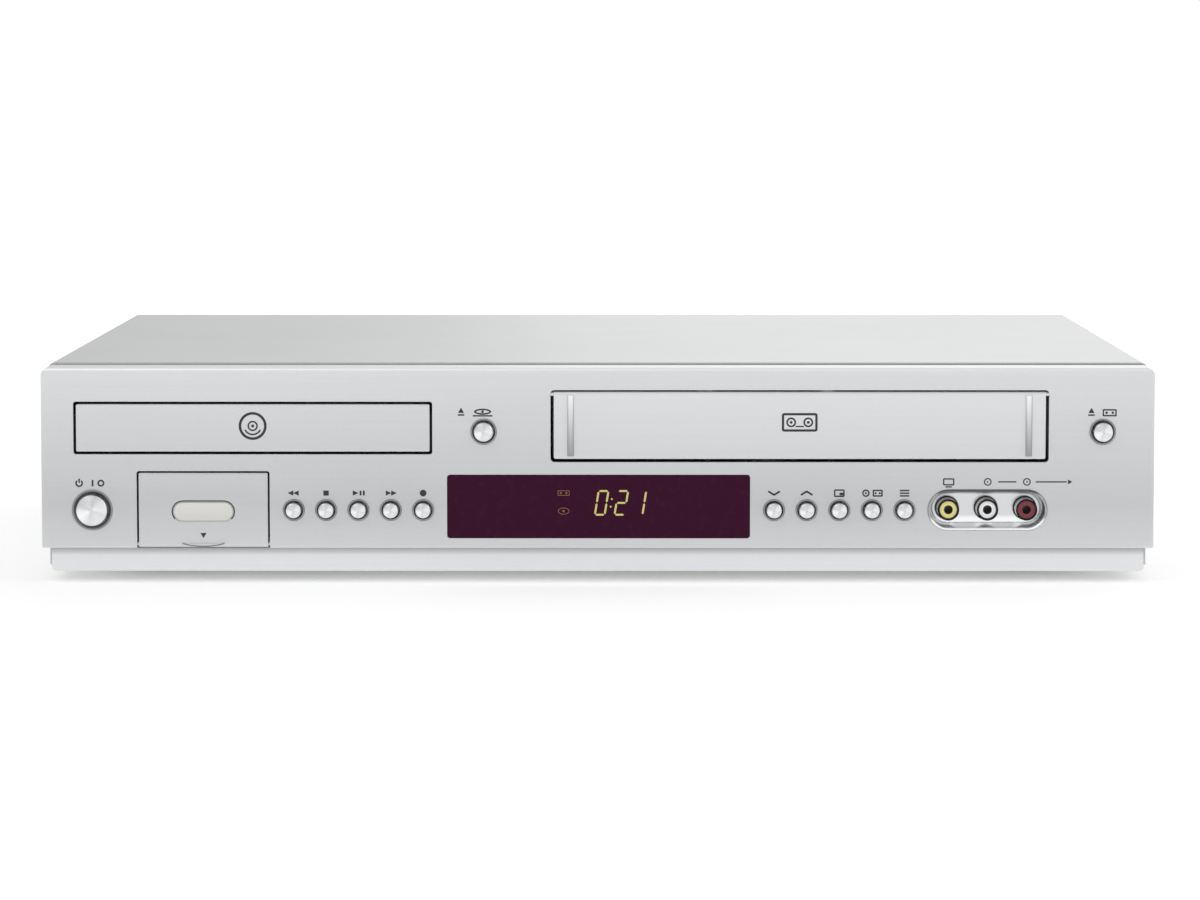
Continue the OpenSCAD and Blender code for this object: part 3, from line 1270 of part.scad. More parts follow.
module loading_motor() color(steel) {
    x0 = deck_x - threader_out;
    x1 = x0 + threader_len;
    y = deck_y0 + deck_d - threader_back;
    z = deck_top + threader_h;
    intersection() {
        bar_x(y, z, 20, x0, x1);
        block([x0, y - 10, z - 8], [x1, y + 10, z + 8]);
    }
    bar_x(y, z, 2, x1 - 1, x1 + 18);
    bar_x(y, z, 6, x1 + 3, x1 + 16);
    block([x1, y - 10, deck_top], [x1 + 1.2, y + 10, z + 9]);
    block([x0 + 3, y - 7, deck_top], [x1 + 0.2, y + 7, z - 6]);
}

// ---------- Boards and connectors ----------

module chip(x, y, w, d, h) block([x - w / 2, y - d / 2, board_z + board_t], [x + w / 2, y + d / 2, board_z + board_t + h]);
module can(x, y, d, h) bar_z(x, y, d, board_z + board_t, board_z + board_t + h);

module main_board() color(board_green) difference() {
    x0 = tray_x - main_w / 2;
    union() {
        block([x0, main_y0, board_z], [x0 + main_w, main_y0 + main_d, board_z + board_t]);
        chip(tray_x - 30, main_y0 + 40, 28, 28, 2);
        chip(tray_x + 26, main_y0 + 34, 20, 14, 2);
        chip(tray_x + 26, main_y0 + 60, 24, 10, 2);
        chip(tray_x - 34, main_y0 + 82, 16, 12, 2);
        for (i = [0:4]) can(tray_x + 50, main_y0 + 18 + i * 14, 6.3, 9);
        for (i = [0:3]) can(tray_x - 56, main_y0 + 34 + i * 16, 5, 8);
        for (x = [-34, 0, 34]) chip(tray_x + x, main_y0 + main_d - 10, 24, 6, 8);
    }
    for (s = [-1, 1], y = loader_post_y) bar_z(tray_x + s * loader_post_x, y, 10, board_z - over, board_z + 20);
}

module heat_sink(x, y, w, d, h) {
    chip(x, y, w, 2, h);
    for (i = [0:4]) chip(x - w / 2 + 1 + i * (w - 2) / 4, y + d / 2, 1.6, d, h);
}

module power_board() color([0.55, 0.42, 0.22]) {
    x1 = power_x0 + power_w;
    y0 = power_y1 - power_d;
    block([power_x0, y0, board_z], [x1, power_y1, board_z + board_t]);
    chip(power_x0 + 74, y0 + 52, 42, 36, 30);
    can(power_x0 + 34, y0 + 62, 25, 32);
    chip(power_x0 + 30, y0 + 83, 16, 14, 18);
    heat_sink(power_x0 + 58, y0 + 84, 30, 10, 34);
    heat_sink(power_x0 + 112, y0 + 70, 30, 10, 30);
    for (i = [0:3]) can(x1 - 12, y0 + 18 + i * 15, 10, 16);
    for (i = [0:2]) can(x1 - 32, y0 + 16 + i * 15, 8, 12);
    chip(power_x0 + 30, y0 + 14, 40, 8, 9);
}

module tuner_module() color(steel) {
    block([tuner_x - tuner_w / 2, rear_in_y - tuner_d, board_z], [tuner_x + tuner_w / 2, rear_in_y, board_z + tuner_h]);
    for (z = aerial_zs) difference() {
        union() {
            bar_y(tuner_x, z, aerial_d, rear_in_y - 0.5, rear_y + rear_out);
            for (i = [0:4]) bar_y(tuner_x, z, aerial_d + 0.5, rear_y + 1 + i * 1.6, rear_y + 1.8 + i * 1.6);
        }
        bar_y(tuner_x, z, 4.6, rear_y + 2, rear_y + rear_out + over);
    }
}

module upright_board(x0, x1, z0, z1) block([x0, board_y, z0], [x1, board_y + board_t, z1]);

// The display board with its glass, and the smaller boards that carry the key switches
module front_boards() color(board_green) {
    upright_board(window_x - 62, function_x + 4 * function_pitch + 6, panel_z0 + 3, above(31));
    upright_board(transport_x - 6, transport_x + 4 * transport_pitch + 4.5, panel_z0 + 3, above(key_board_h));
    upright_board(power_x - 11, power_x + 10, panel_z0 + 3, above(key_board_h));
    upright_board(tray_button_x - 12, tray_button_x + 12, above(upper_z - 6), above(upper_z + 8));
    upright_board(eject_x - 11, eject_x + 13, above(upper_z - 12), above(upper_z + 13));
    for (k = all_keys) key_switch(k[0], k[1]);
    block([window_x - window_w / 2 + 3, behind(window_sink + window_t) + 0.5, above(window_z) - 9.6],
          [window_x + window_w / 2 - 3, board_y, above(window_z) + 9.6]);
}

module card_reader() color(black) difference() {
    y0 = behind(card_reader_front);
    z0 = panel_z0 + 3;
    block([card_x - 23.5, y0, z0], [card_x + 23.5, y0 + 39, z0 + 21.6]);
    block([card_x - 21.6, y0 - over, z0 + 14.6], [card_x + 21.6, y0 + 35, z0 + 18.2]);
    block([card_x - 18, y0 - over, z0 + 8.6], [card_x + 4, y0 + 30, z0 + 11]);
    block([card_x - 12.4, y0 - over, z0 + 3], [card_x + 12, y0 + 30, z0 + 5.6]);
}

module rear_jacks() color(black) {
    w = rear_jack_pitch * rear_jack_cols;
    x0 = rear_jack_x - jack_board_w / 2;
    z1 = rear_jack_zs[1] + rear_jack_pitch / 2;
    block([x0, rear_in_y - jack_board_d, board_z], [x0 + jack_board_w, rear_in_y - 1, board_z + board_t]);
    difference() {
        block([rear_jack_x - w / 2, rear_in_y - 13, board_z + board_t - 0.1], [rear_jack_x + w / 2, rear_in_y, z1]);
        for (x = rear_jack_xs, z = rear_jack_zs) bar_y(x, z, jack_hole_d, rear_in_y - 8, rear_in_y + over);
    }
    for (x = rear_jack_xs, z = rear_jack_zs) {
        difference() {
            bar_y(x, z, shell_d, rear_in_y - 0.5, rear_y + rear_shell_out);
            bar_y(x, z, shell_d - 2 * shell_wall, rear_in_y - over, rear_y + rear_out + over);
        }
        difference() {
            bar_y(x, z, shell_d - 2 * shell_wall - 2 * seat_gap, rear_in_y - 0.5, rear_y + rear_shell_out - insert_sink);
            bar_y(x, z, jack_hole_d, rear_in_y - over, rear_y + rear_out);
        }
    }
}

// A two-pin figure-of-eight socket
module mains_inlet() color(black) {
    z = pan_top + inlet_z;
    pin_half = 4.3;
    difference() {
        union() {
            prism_y(rear_in_y - 20, rear_y) centred_quad(inlet_x, z, inlet_w, inlet_h, 2);
            prism_y(rear_y, rear_y + 1.6) centred_quad(inlet_x, z, inlet_w + 5, inlet_h + 4, 3);
        }
        prism_y(rear_y + 1.6 - inlet_depth, rear_y + 3) {
            for (s = [-1, 1]) translate([inlet_x + s * pin_half, z]) circle(d = 8.8);
            translate([inlet_x, z]) square([2 * pin_half, 7.4], center = true);
        }
    }
    for (s = [-1, 1]) bar_y(inlet_x + s * pin_half, z, 2.4, rear_y - inlet_depth, rear_y - 1.5);
}

// ---------- Assembly ----------

top_cover();
chassis_pan();
rear_panel();
front_panel();
front_skirt();
feet();
case_screws();
display_window();
button_rings();
jack_surround();
power_button();
rewind_button();
stop_button();
play_button();
fast_forward_button();
record_button();
channel_down_button();
channel_up_button();
view_button();
source_button();
scan_button();
tray_open_button();
eject_button();
card_door();
tray_door();
cassette_door();
disc_tray();
loader_frame();
tray_gear();
pulley_gear();
motor_pulley();
loader_motor();
loader_belt();
traverse_frame();
turntable();
optical_pickup();
pickup_rails();
clamp_bridge();
disc_clamp();
deck_plate();
carriage_frame();
cassette_holder();
drum_base();
drum_rotor();
capstan();
pinch_arm();
supply_reel();
takeup_reel();
loading_motor();
main_board();
power_board();
tuner_module();
front_boards();
card_reader();
front_jack_shells();
video_insert();
left_audio_insert();
right_audio_insert();
rear_jacks();
mains_inlet();
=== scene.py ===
"""Finishes and small fittings of a silver disc and cassette player.

It is laid out as an add-on and run as a script.
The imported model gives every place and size: the fittings made here sit on its pieces, in metres,
with +X to the right along the front, +Z up and the front looking towards -Y.
"""

import math
from contextlib import contextmanager

import bmesh
import bpy
from bpy.props import FloatProperty, FloatVectorProperty, IntProperty, PointerProperty
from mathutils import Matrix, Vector


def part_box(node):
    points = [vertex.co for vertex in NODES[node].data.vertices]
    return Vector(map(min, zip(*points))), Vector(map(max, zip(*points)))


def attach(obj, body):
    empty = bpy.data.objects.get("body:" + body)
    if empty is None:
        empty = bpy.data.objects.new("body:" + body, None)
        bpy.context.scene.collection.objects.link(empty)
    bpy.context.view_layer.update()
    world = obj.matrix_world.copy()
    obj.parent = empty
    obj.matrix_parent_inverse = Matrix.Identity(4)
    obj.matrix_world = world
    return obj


bl_info = {
    "name": "Disc and cassette player finishes",
    "version": (1, 0, 0),
    "blender": (4, 5, 0),
    "location": "3D View > Sidebar > Player",
    "description": "Paints a packed disc and cassette player and adds its marks, display and small fittings",
    "category": "Object",
}

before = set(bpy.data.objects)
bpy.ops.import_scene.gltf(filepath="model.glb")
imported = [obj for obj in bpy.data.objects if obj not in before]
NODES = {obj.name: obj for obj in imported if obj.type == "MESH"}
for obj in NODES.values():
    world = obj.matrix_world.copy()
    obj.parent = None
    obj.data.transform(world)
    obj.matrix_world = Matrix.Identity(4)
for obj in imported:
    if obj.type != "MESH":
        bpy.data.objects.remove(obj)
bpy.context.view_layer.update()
MM = 0.001
FACE_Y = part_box("front_panel")[0].y
FACE_LOW_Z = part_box("front_panel")[0].z
BADGE_Z = FACE_LOW_Z + 14.2 * MM
BOARD_TOP = 1.7 * MM  # just over a board's thickness, from its underside
LEFT, RIGHT = math.pi, 0.0
UP, DOWN = math.pi / 2, -math.pi / 2
BLACK = (0.0, 0.0, 0.0)


def centre_of(node):
    low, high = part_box(node)
    return (low + high) / 2


def size_of(node):
    low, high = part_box(node)
    return high - low


def spot(node, up, along=0.0):
    """X and Z of a place up and along from a piece's centre."""
    centre = centre_of(node)
    return centre.x + along, centre.z + up


def corners(node, proud):
    """Where a piece's vertices stand proud of the front's face by more than a length."""
    return [v.co for v in NODES[node].data.vertices if v.co.y < FACE_Y - proud]


# ---------- Shader expressions ----------

class Value:
    """A socket that is added, scaled and compared like a number."""

    def __init__(self, graph, socket):
        self.graph = graph
        self.socket = socket

    def math(self, operation, *values):
        return self.graph.add("Math", {"operation": operation}, dict(enumerate(values)))

    def __add__(self, other):
        return self.math("ADD", self, other)

    def __sub__(self, other):
        return self.math("SUBTRACT", self, other)

    def __rsub__(self, other):
        return self.math("SUBTRACT", other, self)

    def __mul__(self, other):
        return self.math("MULTIPLY", self, other)

    def __truediv__(self, other):
        return self.math("DIVIDE", self, other)

    def __pow__(self, other):
        return self.math("POWER", self, other)

    def __gt__(self, other):
        return self.math("GREATER_THAN", self, other)

    def __lt__(self, other):
        return self.math("LESS_THAN", self, other)

    __radd__ = __add__
    __rmul__ = __mul__

    def __abs__(self):
        return self.math("ABSOLUTE", self)

    def sine(self):
        return self.math("SINE", self)

    def wrap(self, length):
        """The value folded to and fro between nought and a length."""
        return self.math("PINGPONG", self, length)

    def repeat(self, length):
        """The value started again from nought at every length."""
        return self.math("FLOORED_MODULO", self, length)

    def fade(self, low, high, start=0.0, end=1.0):
        """The value carried from low..high to start..end, held at both ends."""
        sockets = {"Value": self, "From Min": low, "From Max": high, "To Min": start, "To Max": end}
        return self.graph.add("MapRange", {"clamp": True}, sockets, "Result")

    def either(self, other):
        """One where this or another yes-or-no value is one."""
        return (self + other).fade(0.0, 1.0)


class Graph:
    """The nodes of a material, or of the world, made by calls and expressions."""

    def __init__(self, name, kind="materials"):
        self.material = getattr(bpy.data, kind).new(name)
        self.material.use_nodes = True
        self.tree = self.material.node_tree
        self.tree.nodes.clear()

    def add(self, kind, settings=None, sockets=None, output=0):
        """A node: its settings are made first, then the values or links of its sockets."""
        node = self.tree.nodes.new("ShaderNode" + kind)
        for name, value in (settings or {}).items():
            setattr(node, name, value)
        for name, value in (sockets or {}).items():
            if isinstance(value, Value):
                self.tree.links.new(value.socket, node.inputs[name])
            else:
                node.inputs[name].default_value = value
        return Value(self, node.outputs[output]) if node.outputs else node

    def place(self):
        """The place on the piece, in its own axes."""
        return self.add("TexCoord", output="Object")

    def axes(self, vector=None):
        """The X, Y and Z parts of a vector, or of the place on the piece."""
        first = self.add("SeparateXYZ", None, {0: vector or self.place()})
        return [Value(self, first.socket.node.outputs[i]) for i in range(3)]

    def moved(self, centre=(0, 0, 0), scale=(1, 1, 1)):
        """The place on the piece, measured from a centre and stretched."""
        offset = self.add("VectorMath", {"operation": "SUBTRACT"}, {0: self.place(), 1: tuple(centre)})
        return self.add("Mapping", None, {"Vector": offset, "Scale": scale})

    def noise(self, scale, detail=2.0, vector=None):
        sockets = {"Vector": vector or self.place(), "Scale": scale, "Detail": detail}
        return self.add("TexNoise", None, sockets, "Fac")

    def streaks(self, scale, detail=3.0):
        """Noise stretched by three scales, for grain and scratches."""
        return self.noise(1.0, detail, self.moved(scale=scale))

    def cells(self, scale):
        """The way to the middle of the nearest cell."""
        return self.add("TexVoronoi", None, {"Vector": self.place(), "Scale": scale}, "Distance")

    def facets(self, scale):
        """One chance value for each cell."""
        tint = self.add("TexVoronoi", None, {"Vector": self.place(), "Scale": scale}, "Color")
        return self.add("SeparateColor", None, {0: tint}, "Red")

    def mix(self, factor, one, other):
        """Two colours mixed by a factor."""
        return self.add("Mix", {"data_type": "RGBA"}, {0: factor, 6: colour(one), 7: colour(other)}, 2)

    def bump(self, height, depth, normal=None):
        """A relief of a real depth, on the flat or on a softened normal."""
        sockets = {"Height": height, "Distance": depth, "Strength": 1.0}
        if normal is not None:
            sockets["Normal"] = normal
        return self.add("Bump", None, sockets)

    def soft_edge(self, radius):
        """A normal that rounds the edges."""
        return self.add("Bevel", {"samples": 4}, {"Radius": radius})

    def edge_mask(self, radius):
        """One along outer edges and nought on the flats."""
        normals = {0: self.soft_edge(radius), 1: self.add("NewGeometry", output="Normal")}
        likeness = self.add("VectorMath", {"operation": "DOT_PRODUCT"}, normals, "Value")
        return (1 - likeness).fade(0.0, 0.06)

    def surface(self, base, roughness, normal=None, metallic=0.0, **constants):
        """The principled surface and the output. What is constant is set on the shader itself."""
        sockets = {"Base Color": colour(base), "Roughness": roughness, "Metallic": metallic}
        if normal is not None:
            sockets["Normal"] = normal
        sockets.update({name.replace("_", " ").title().replace("Ior", "IOR"): value
                        for name, value in constants.items()})
        shader = self.add("BsdfPrincipled", None, sockets)
        self.add("OutputMaterial", None, {"Surface": shader})
        return self.material


def colour(value):
    return value if isinstance(value, Value) else (*value[:3], 1.0)


def shade(value, factor):
    """A colour made darker or lighter by a factor."""
    return tuple(min(1.0, c * factor) for c in value[:3])


def paint(material, *nodes):
    """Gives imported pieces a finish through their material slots."""
    for name in nodes:
        piece = NODES[name]
        if not piece.material_slots:
            piece.data.materials.append(material)
        for place in piece.material_slots:
            place.material = material


# ---------- Finishes ----------

def silver_paint(name, base, grain=(14, 400, 1500), edge=0.0005, gloss=0.36, seam=None, band=None,
                 bars=None):
    """Metallic silver lacquer: flakes, a faint brushed grain, soft edges lightened with a painted highlight
    and slight handling marks.

    A seam is given as an axis, two places on that axis and the amount at each: along it the tone is darkened
    as painted shade. A band is the lower, deepest and upper heights between which painted shade deepens the
    tone, with a painted highlight along the top edge.
    Bars are the lower and upper height of two raised bars, their middle, the way from there to each and
    half a bar's width. Painted shade darkens their lower ends and their sides, and a painted highlight
    lightens their upper parts."""
    g = Graph(name)
    streaks = g.streaks(grain)
    sparkle = g.facets(5200)
    cloud = g.noise(9.0, 3.0)
    smudge = g.noise(46.0, 4.0).fade(0.56, 0.78)
    edge_highlight = g.edge_mask(edge)
    tone = 0.35 * streaks + 0.25 * sparkle + 0.4 * cloud
    body = g.mix(tone.fade(0.3, 0.7), shade(base, 0.955), shade(base, 1.03))
    # Painted highlight: the outer edges are lightened in colour as if they caught the light.
    body = g.mix(edge_highlight * 0.7, body, shade(base, 1.25))
    if seam:
        axis, *places = seam
        # Painted shade: the tone is darkened along a seam, where the joint's shadow falls.
        dust_and_shade = g.axes()[axis].fade(*places) * (0.75 + 0.25 * cloud)
        body = g.mix(dust_and_shade, body, shade(base, 0.2))
    if band:
        lower, deepest, upper = band
        z = g.axes()[2]
        # Painted shade deepens the tone towards the deepest height, and a painted highlight lightens the top
        # edge.
        depth = 1 - (z.fade(deepest, upper) + z.fade(deepest, lower, 0.0, 0.6))
        painted_top_highlight = z.fade(upper - 1.7 * MM, upper - 0.8 * MM)
        body = g.mix(depth * 0.2, body, BLACK)
        body = g.mix(painted_top_highlight, body, shade(base, 1.25))
    if bars:
        low, high, middle, offset, half = bars
        x, y, z = g.axes()
        # Painted highlight on the bars' upper parts, and painted shade on their lower ends and sides.
        up = z.fade(low, high)
        side = abs(abs(x - middle) - offset) / half + 0.45 * (1 - up)
        bar_light_and_shade = g.mix(up, shade(base, 0.42), shade(base, 1.22))
        bar_light_and_shade = g.mix(side.fade(0.55, 0.95) * 0.6, bar_light_and_shade, shade(base, 0.5))
        body = g.mix(y < FACE_Y - 0.05 * MM, body, bar_light_and_shade)
    rough = gloss + 0.05 * streaks + 0.04 * sparkle + 0.05 * smudge
    relief = g.bump(streaks * 0.5 + sparkle * 0.5, 0.000004, g.soft_edge(edge))
    return g.surface(body, rough, relief, 0.55, coat_weight=0.12, coat_roughness=0.2)


def plain_sheet(name, base):
    """Zinc-plated sheet: crystals, rolling lines and a few dull patches."""
    g = Graph(name)
    crystals = g.facets(150)
    rolling = g.streaks((900, 22, 900))
    patches = g.noise(12.0, 4.0).fade(0.45, 0.75)
    body = g.mix(0.5 * crystals + 0.3 * rolling, shade(base, 0.82), shade(base, 1.08))
    body = g.mix(patches * 0.35, body, shade(base, 0.7))
    rough = 0.3 + 0.14 * crystals + 0.12 * patches
    return g.surface(body, rough, g.bump(rolling + 0.4 * crystals, 0.000006), 0.92)


def bright_metal(name, base, gloss, scratch=(2500, 40, 2500)):
    """Plated or ground metal with hair scratches and faint stains."""
    g = Graph(name)
    hair = g.streaks(scratch, 2.0)
    stain = g.noise(120.0, 3.0).fade(0.5, 0.8)
    body = g.mix(stain * 0.4, base, shade(base, 0.8))
    relief = g.bump(hair, 0.000003, g.soft_edge(0.00012))
    return g.surface(body, gloss + 0.1 * hair + 0.12 * stain, relief, 1.0)


def satin_recess(name, base):
    """Satin plating on a moulded recess, with a soft haze and fine polishing lines. Painted shade darkens
    its front rim, and more its upper edge, and a painted reflection makes its lower slope pale."""
    g = Graph(name)
    haze = g.noise(60.0, 3.0)
    lines = g.streaks((120, 120, 2400))
    middle = centre_of("jack_surround").z
    _, y, z = g.axes()
    inside = y > FACE_Y + 0.25 * MM
    low = z.fade(middle - 2.6 * MM, middle - 4.4 * MM)
    high = z.fade(middle + 5.6 * MM, middle + 6.8 * MM)
    body = g.mix(haze, shade(base, 0.95), base)
    # Painted shade: the front rim is darker than the plating inside.
    body = g.mix(inside, shade(base, 0.6), body)
    # Painted reflection: the lower slope is pale.
    body = g.mix(low, body, (0.96, 0.965, 0.975))
    # Painted shade: the upper edge is dark, as in the rim's shadow.
    body = g.mix(high, body, shade(base, 0.2))
    rough = 0.1 + 0.06 * haze + 0.04 * lines + 0.04 * low
    return g.surface(body, rough, g.bump(lines, 0.000002, g.soft_edge(0.0007)), 1.0)


def turned_shell(name, base):
    """Nickelled barrels with fine turning rings, their front rims and feet darkened with painted shade."""
    g = Graph(name)
    _, y, _ = g.axes()
    pitch = 0.25 * MM
    rings = (y * (math.tau / pitch)).sine() * 0.5 + 0.5
    tarnish = g.noise(260.0, 3.0)
    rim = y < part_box("front_jack_shells")[0].y + 0.5 * MM
    foot = y > FACE_Y + 8.9 * MM
    body = g.mix(tarnish * 0.4, base, shade(base, 0.86))
    # Painted shade: the front rims and the feet at the recess floor are dark.
    body = g.mix(rim.either(foot), body, (0.018, 0.018, 0.02))
    return g.surface(body, 0.24 + 0.1 * tarnish, g.bump(rings, 0.000004, g.soft_edge(0.0001)), 1.0)


def spun_cap(name, base, node):
    """A cap faced on a lathe: fine rings about its centre, with a painted highlight in two bright fan-shaped
    sectors, like the reflection that such rings throw.
    """
    g = Graph(name)
    x, _, z = g.axes(g.moved(centre=centre_of(node)))
    pitch, groove = 0.2 * MM, 0.014 * MM
    radius = (x * x + z * z) ** 0.5 + 1e-7
    rings = (radius * (math.tau / pitch)).sine() * 0.5 + 0.5
    # Painted highlight: two bright fan-shaped sectors lightened in the cap's colour, turned at a fixed
    # angle.
    lean = math.radians(28)
    along = (x * math.cos(lean) + z * math.sin(lean)) / radius
    painted_fans = (along * along).fade(0.45, 1.0) + ((1 - along * along).fade(0.62, 1.0)) * 0.35
    uneven = g.noise(700.0, 3.0)
    body = g.mix(painted_fans * 0.8 + uneven * 0.2, shade(base, 0.84), shade(base, 1.14))
    relief = g.bump(rings + 0.3 * uneven, groove, g.soft_edge(0.0004))
    return g.surface(body, 0.22 + 0.14 * uneven, relief, 1.0)


def moulded(name, base, gloss=0.5, grain=2600, depth=0.00002):
    """Spark-textured moulded plastic, a little polished where it is rubbed."""
    g = Graph(name)
    edge = 0.3 * MM
    pits = g.cells(grain)
    cloud = g.noise(30.0, 3.0)
    rubbed = g.edge_mask(edge)
    body = g.mix(cloud * 0.5 + pits * 0.4, shade(base, 0.85), shade(base, 1.2))
    body = g.mix(rubbed * 0.35, body, tuple(0.12 + 0.88 * c for c in base[:3]))
    rough = gloss + 0.14 * cloud - 0.12 * rubbed
    return g.surface(body, rough, g.bump(pits, depth, g.soft_edge(edge)), 0.0, specular_ior_level=0.45)


def rubber(name, base):
    """Matt rubber with a little pale dust."""
    g = Graph(name)
    dust_and_shade = g.noise(260.0, 4.0).fade(0.45, 0.8)
    body = g.mix(dust_and_shade * 0.35, base, (0.2, 0.2, 0.19))
    relief = g.bump(g.noise(3500.0), 0.00002)
    return g.surface(body, 0.72 + 0.12 * dust_and_shade, relief, 0.0, specular_ior_level=0.3)


def circuit_board(name, mask, top_z):
    """Solder mask with tracks and pads. What stands above its top is dark, in two blended tints."""
    g = Graph(name)
    x, y, z = g.axes()
    bends = g.noise(70.0, 0.0)

    def lines(axis, bend, spacing, width, scale, least):
        """Bent lines at a spacing, kept where a noise is over its least value."""
        return ((axis + bends * bend).wrap(spacing) < width) * (g.noise(scale, 0.0) > least)

    tracks = lines(x, 0.03, 1.6 * MM, 0.55 * MM, 38.0, 0.47).either(
        lines(y, 0.024, 1.8 * MM, 0.6 * MM, 31.0, 0.52))
    pads = g.cells(240.0) < 0.16
    body = g.mix(tracks * 0.55, mask, shade(mask, 1.9))
    body = g.mix(pads, body, (0.62, 0.60, 0.55))
    parts = z > top_z
    sort = g.noise(22.0, 0.0).fade(0.42, 0.62)
    body = g.mix(parts, body, g.mix(sort, (0.024, 0.024, 0.027), (0.055, 0.058, 0.075)))
    rough = 0.38 + 0.12 * g.noise(300.0) + parts * 0.1
    height = tracks * 0.6 + pads * 1.0
    return g.surface(body, rough, g.bump(height, 0.00003), 0.0, specular_ior_level=0.5)


def smoked_window(name, tint):
    """Tinted clear plastic, seen dark, with a trace of dust and fine rubbing."""
    g = Graph(name)
    dust_and_shade = g.noise(420.0, 4.0).fade(0.55, 0.8)
    rub = g.streaks((70, 300, 1200))
    body = g.mix(dust_and_shade * 0.08, tint, (0.13, 0.06, 0.10))
    rough = 0.16 + 0.05 * rub + 0.08 * dust_and_shade
    return g.surface(body, rough, g.bump(rub, 0.000002, g.soft_edge(0.0003)), 0.0, specular_ior_level=0.06)


def jack_plastic(name, base, node):
    """Shiny coloured plastic with faint flow lines and scuffs, darkened with painted shade in its bore and
    at its outer edge.
    """
    g = Graph(name)
    x, _, z = g.axes(g.moved(centre=centre_of(node)))
    radius = (x * x + z * z) ** 0.5
    bore = radius < 1.75 * MM
    edge = radius > size_of(node).x / 2 - 0.3 * MM
    flow = g.streaks((400, 90, 400))
    scuff = g.noise(700.0, 3.0).fade(0.55, 0.8)
    body = g.mix(flow * 0.6, shade(base, 0.88), shade(base, 1.05))
    # Painted shade: the bore and the outer edge are dark.
    body = g.mix(bore.either(edge), body, shade(base, 0.05))
    return g.surface(body, 0.22 + 0.2 * scuff, g.bump(flow, 0.000005), 0.0, coat_weight=0.15,
                     coat_roughness=0.1)


def ink(name, base):
    """Screen-printed ink, slightly thin and grainy."""
    g = Graph(name)
    thin = g.noise(2600.0, 3.0).fade(0.4, 0.75)
    body = g.mix(thin * 0.3, base, (0.1, 0.1, 0.105))
    return g.surface(body, 0.5 + 0.12 * thin, g.bump(thin, 0.000004), 0.0)


def glow(name, base, strength):
    """Lit phosphor with a fine grid in front of it."""
    g = Graph(name)
    x, _, z = g.axes()
    pitch, wire = 0.22 * MM, 0.04 * MM
    grid = 1 - 0.35 * (x.wrap(pitch) < wire).either(z.wrap(pitch) < wire)
    light = g.mix(grid * (0.8 + 0.2 * g.noise(900.0)), BLACK, base)
    return g.surface(shade(base, 0.4), 0.6, None, 0.0, emission_color=light, emission_strength=strength)


def jack_block(name):
    """Rear phono jacks on one block: nickel shells, coloured inserts, black block, green board."""
    g = Graph(name)
    x, y, z = g.axes()
    low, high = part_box("rear_jacks")
    pitch = 15 * MM
    columns = 6
    insert_radius = 3.62 * MM
    first_x = centre_of("rear_jacks").x - pitch * (columns - 1) / 2
    top_row = high.z - pitch / 2
    across = (x - first_x + pitch / 2).repeat(pitch) - pitch / 2
    up = (z - top_row + pitch / 2).repeat(pitch) - pitch / 2
    radius = (across * across + up * up) ** 0.5
    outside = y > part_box("rear_panel")[1].y - 0.4 * MM
    shell = outside * (radius > insert_radius)
    column = (x - first_x + pitch / 2) / pitch
    tint = (0.80, 0.62, 0.05)
    for first, base in ((2, (0.86, 0.86, 0.83)), (4, (0.45, 0.02, 0.04)), (5, (0.05, 0.12, 0.5))):
        tint = g.mix(column > first, tint, base)
    body = g.mix(outside, (0.03, 0.03, 0.032), tint)
    body = g.mix(shell, body, (0.72, 0.71, 0.68))
    board = z < low.z + BOARD_TOP
    body = g.mix(board, body, (0.05, 0.17, 0.07))
    grain = g.noise(1400.0, 3.0)
    body = g.mix(grain * 0.2, body, (0.1, 0.1, 0.1))
    return g.surface(body, 0.42 - 0.22 * shell + 0.1 * grain, g.bump(grain, 0.000008), shell)


def mains_socket(name):
    """A black figure-of-eight inlet with bright pins."""
    g = Graph(name)
    x, y, z = g.axes()
    middle = centre_of("mains_inlet")
    pin_x, pin_radius, block_depth = 4.3 * MM, 1.35 * MM, 5 * MM
    across = abs(x - middle.x) - pin_x
    up = z - middle.z
    round_pin = (across * across + up * up) ** 0.5 < pin_radius
    pin = round_pin * (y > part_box("mains_inlet")[0].y + block_depth)
    pits = g.cells(2400)
    body = g.mix(pits * 0.5, (0.015, 0.015, 0.016), (0.05, 0.05, 0.052))
    body = g.mix(pin, body, (0.75, 0.74, 0.70))
    return g.surface(body, 0.5 - 0.28 * pin, g.bump(pits, 0.00002), pin)


# ---------- Modelling with operators ----------

def deselect_all():
    for piece in bpy.context.selected_objects:
        piece.select_set(False)


def activate(*pieces):
    """Selects these pieces alone, with the first of them active."""
    deselect_all()
    for piece in pieces:
        piece.select_set(True)
    bpy.context.view_layer.objects.active = pieces[0]


@contextmanager
def editing(piece):
    """Edit mode on one piece, with all of it selected, left again at the end."""
    activate(piece)
    bpy.ops.object.mode_set(mode="EDIT")
    bpy.ops.mesh.select_all(action="SELECT")
    yield
    bpy.ops.object.mode_set(mode="OBJECT")


def pick(piece, kind, test):
    """Selects, in edit mode, the faces, edges or vertices that pass a test."""
    bpy.ops.mesh.select_mode(type={"faces": "FACE", "edges": "EDGE", "verts": "VERT"}[kind])
    bpy.ops.mesh.select_all(action="DESELECT")
    shape = bmesh.from_edit_mesh(piece.data)
    for part in [part for part in getattr(shape, kind) if test(part)]:
        part.select_set(True)
    shape.select_flush_mode()
    bmesh.update_edit_mesh(piece.data)


def middle_of(edge):
    return (edge.verts[0].co + edge.verts[1].co) / 2


def fresh():
    """The piece that an operator has just made, with its place, turn and size put into its mesh."""
    piece = bpy.context.active_object
    activate(piece)
    bpy.ops.object.transform_apply(location=True, rotation=True, scale=True)
    return piece


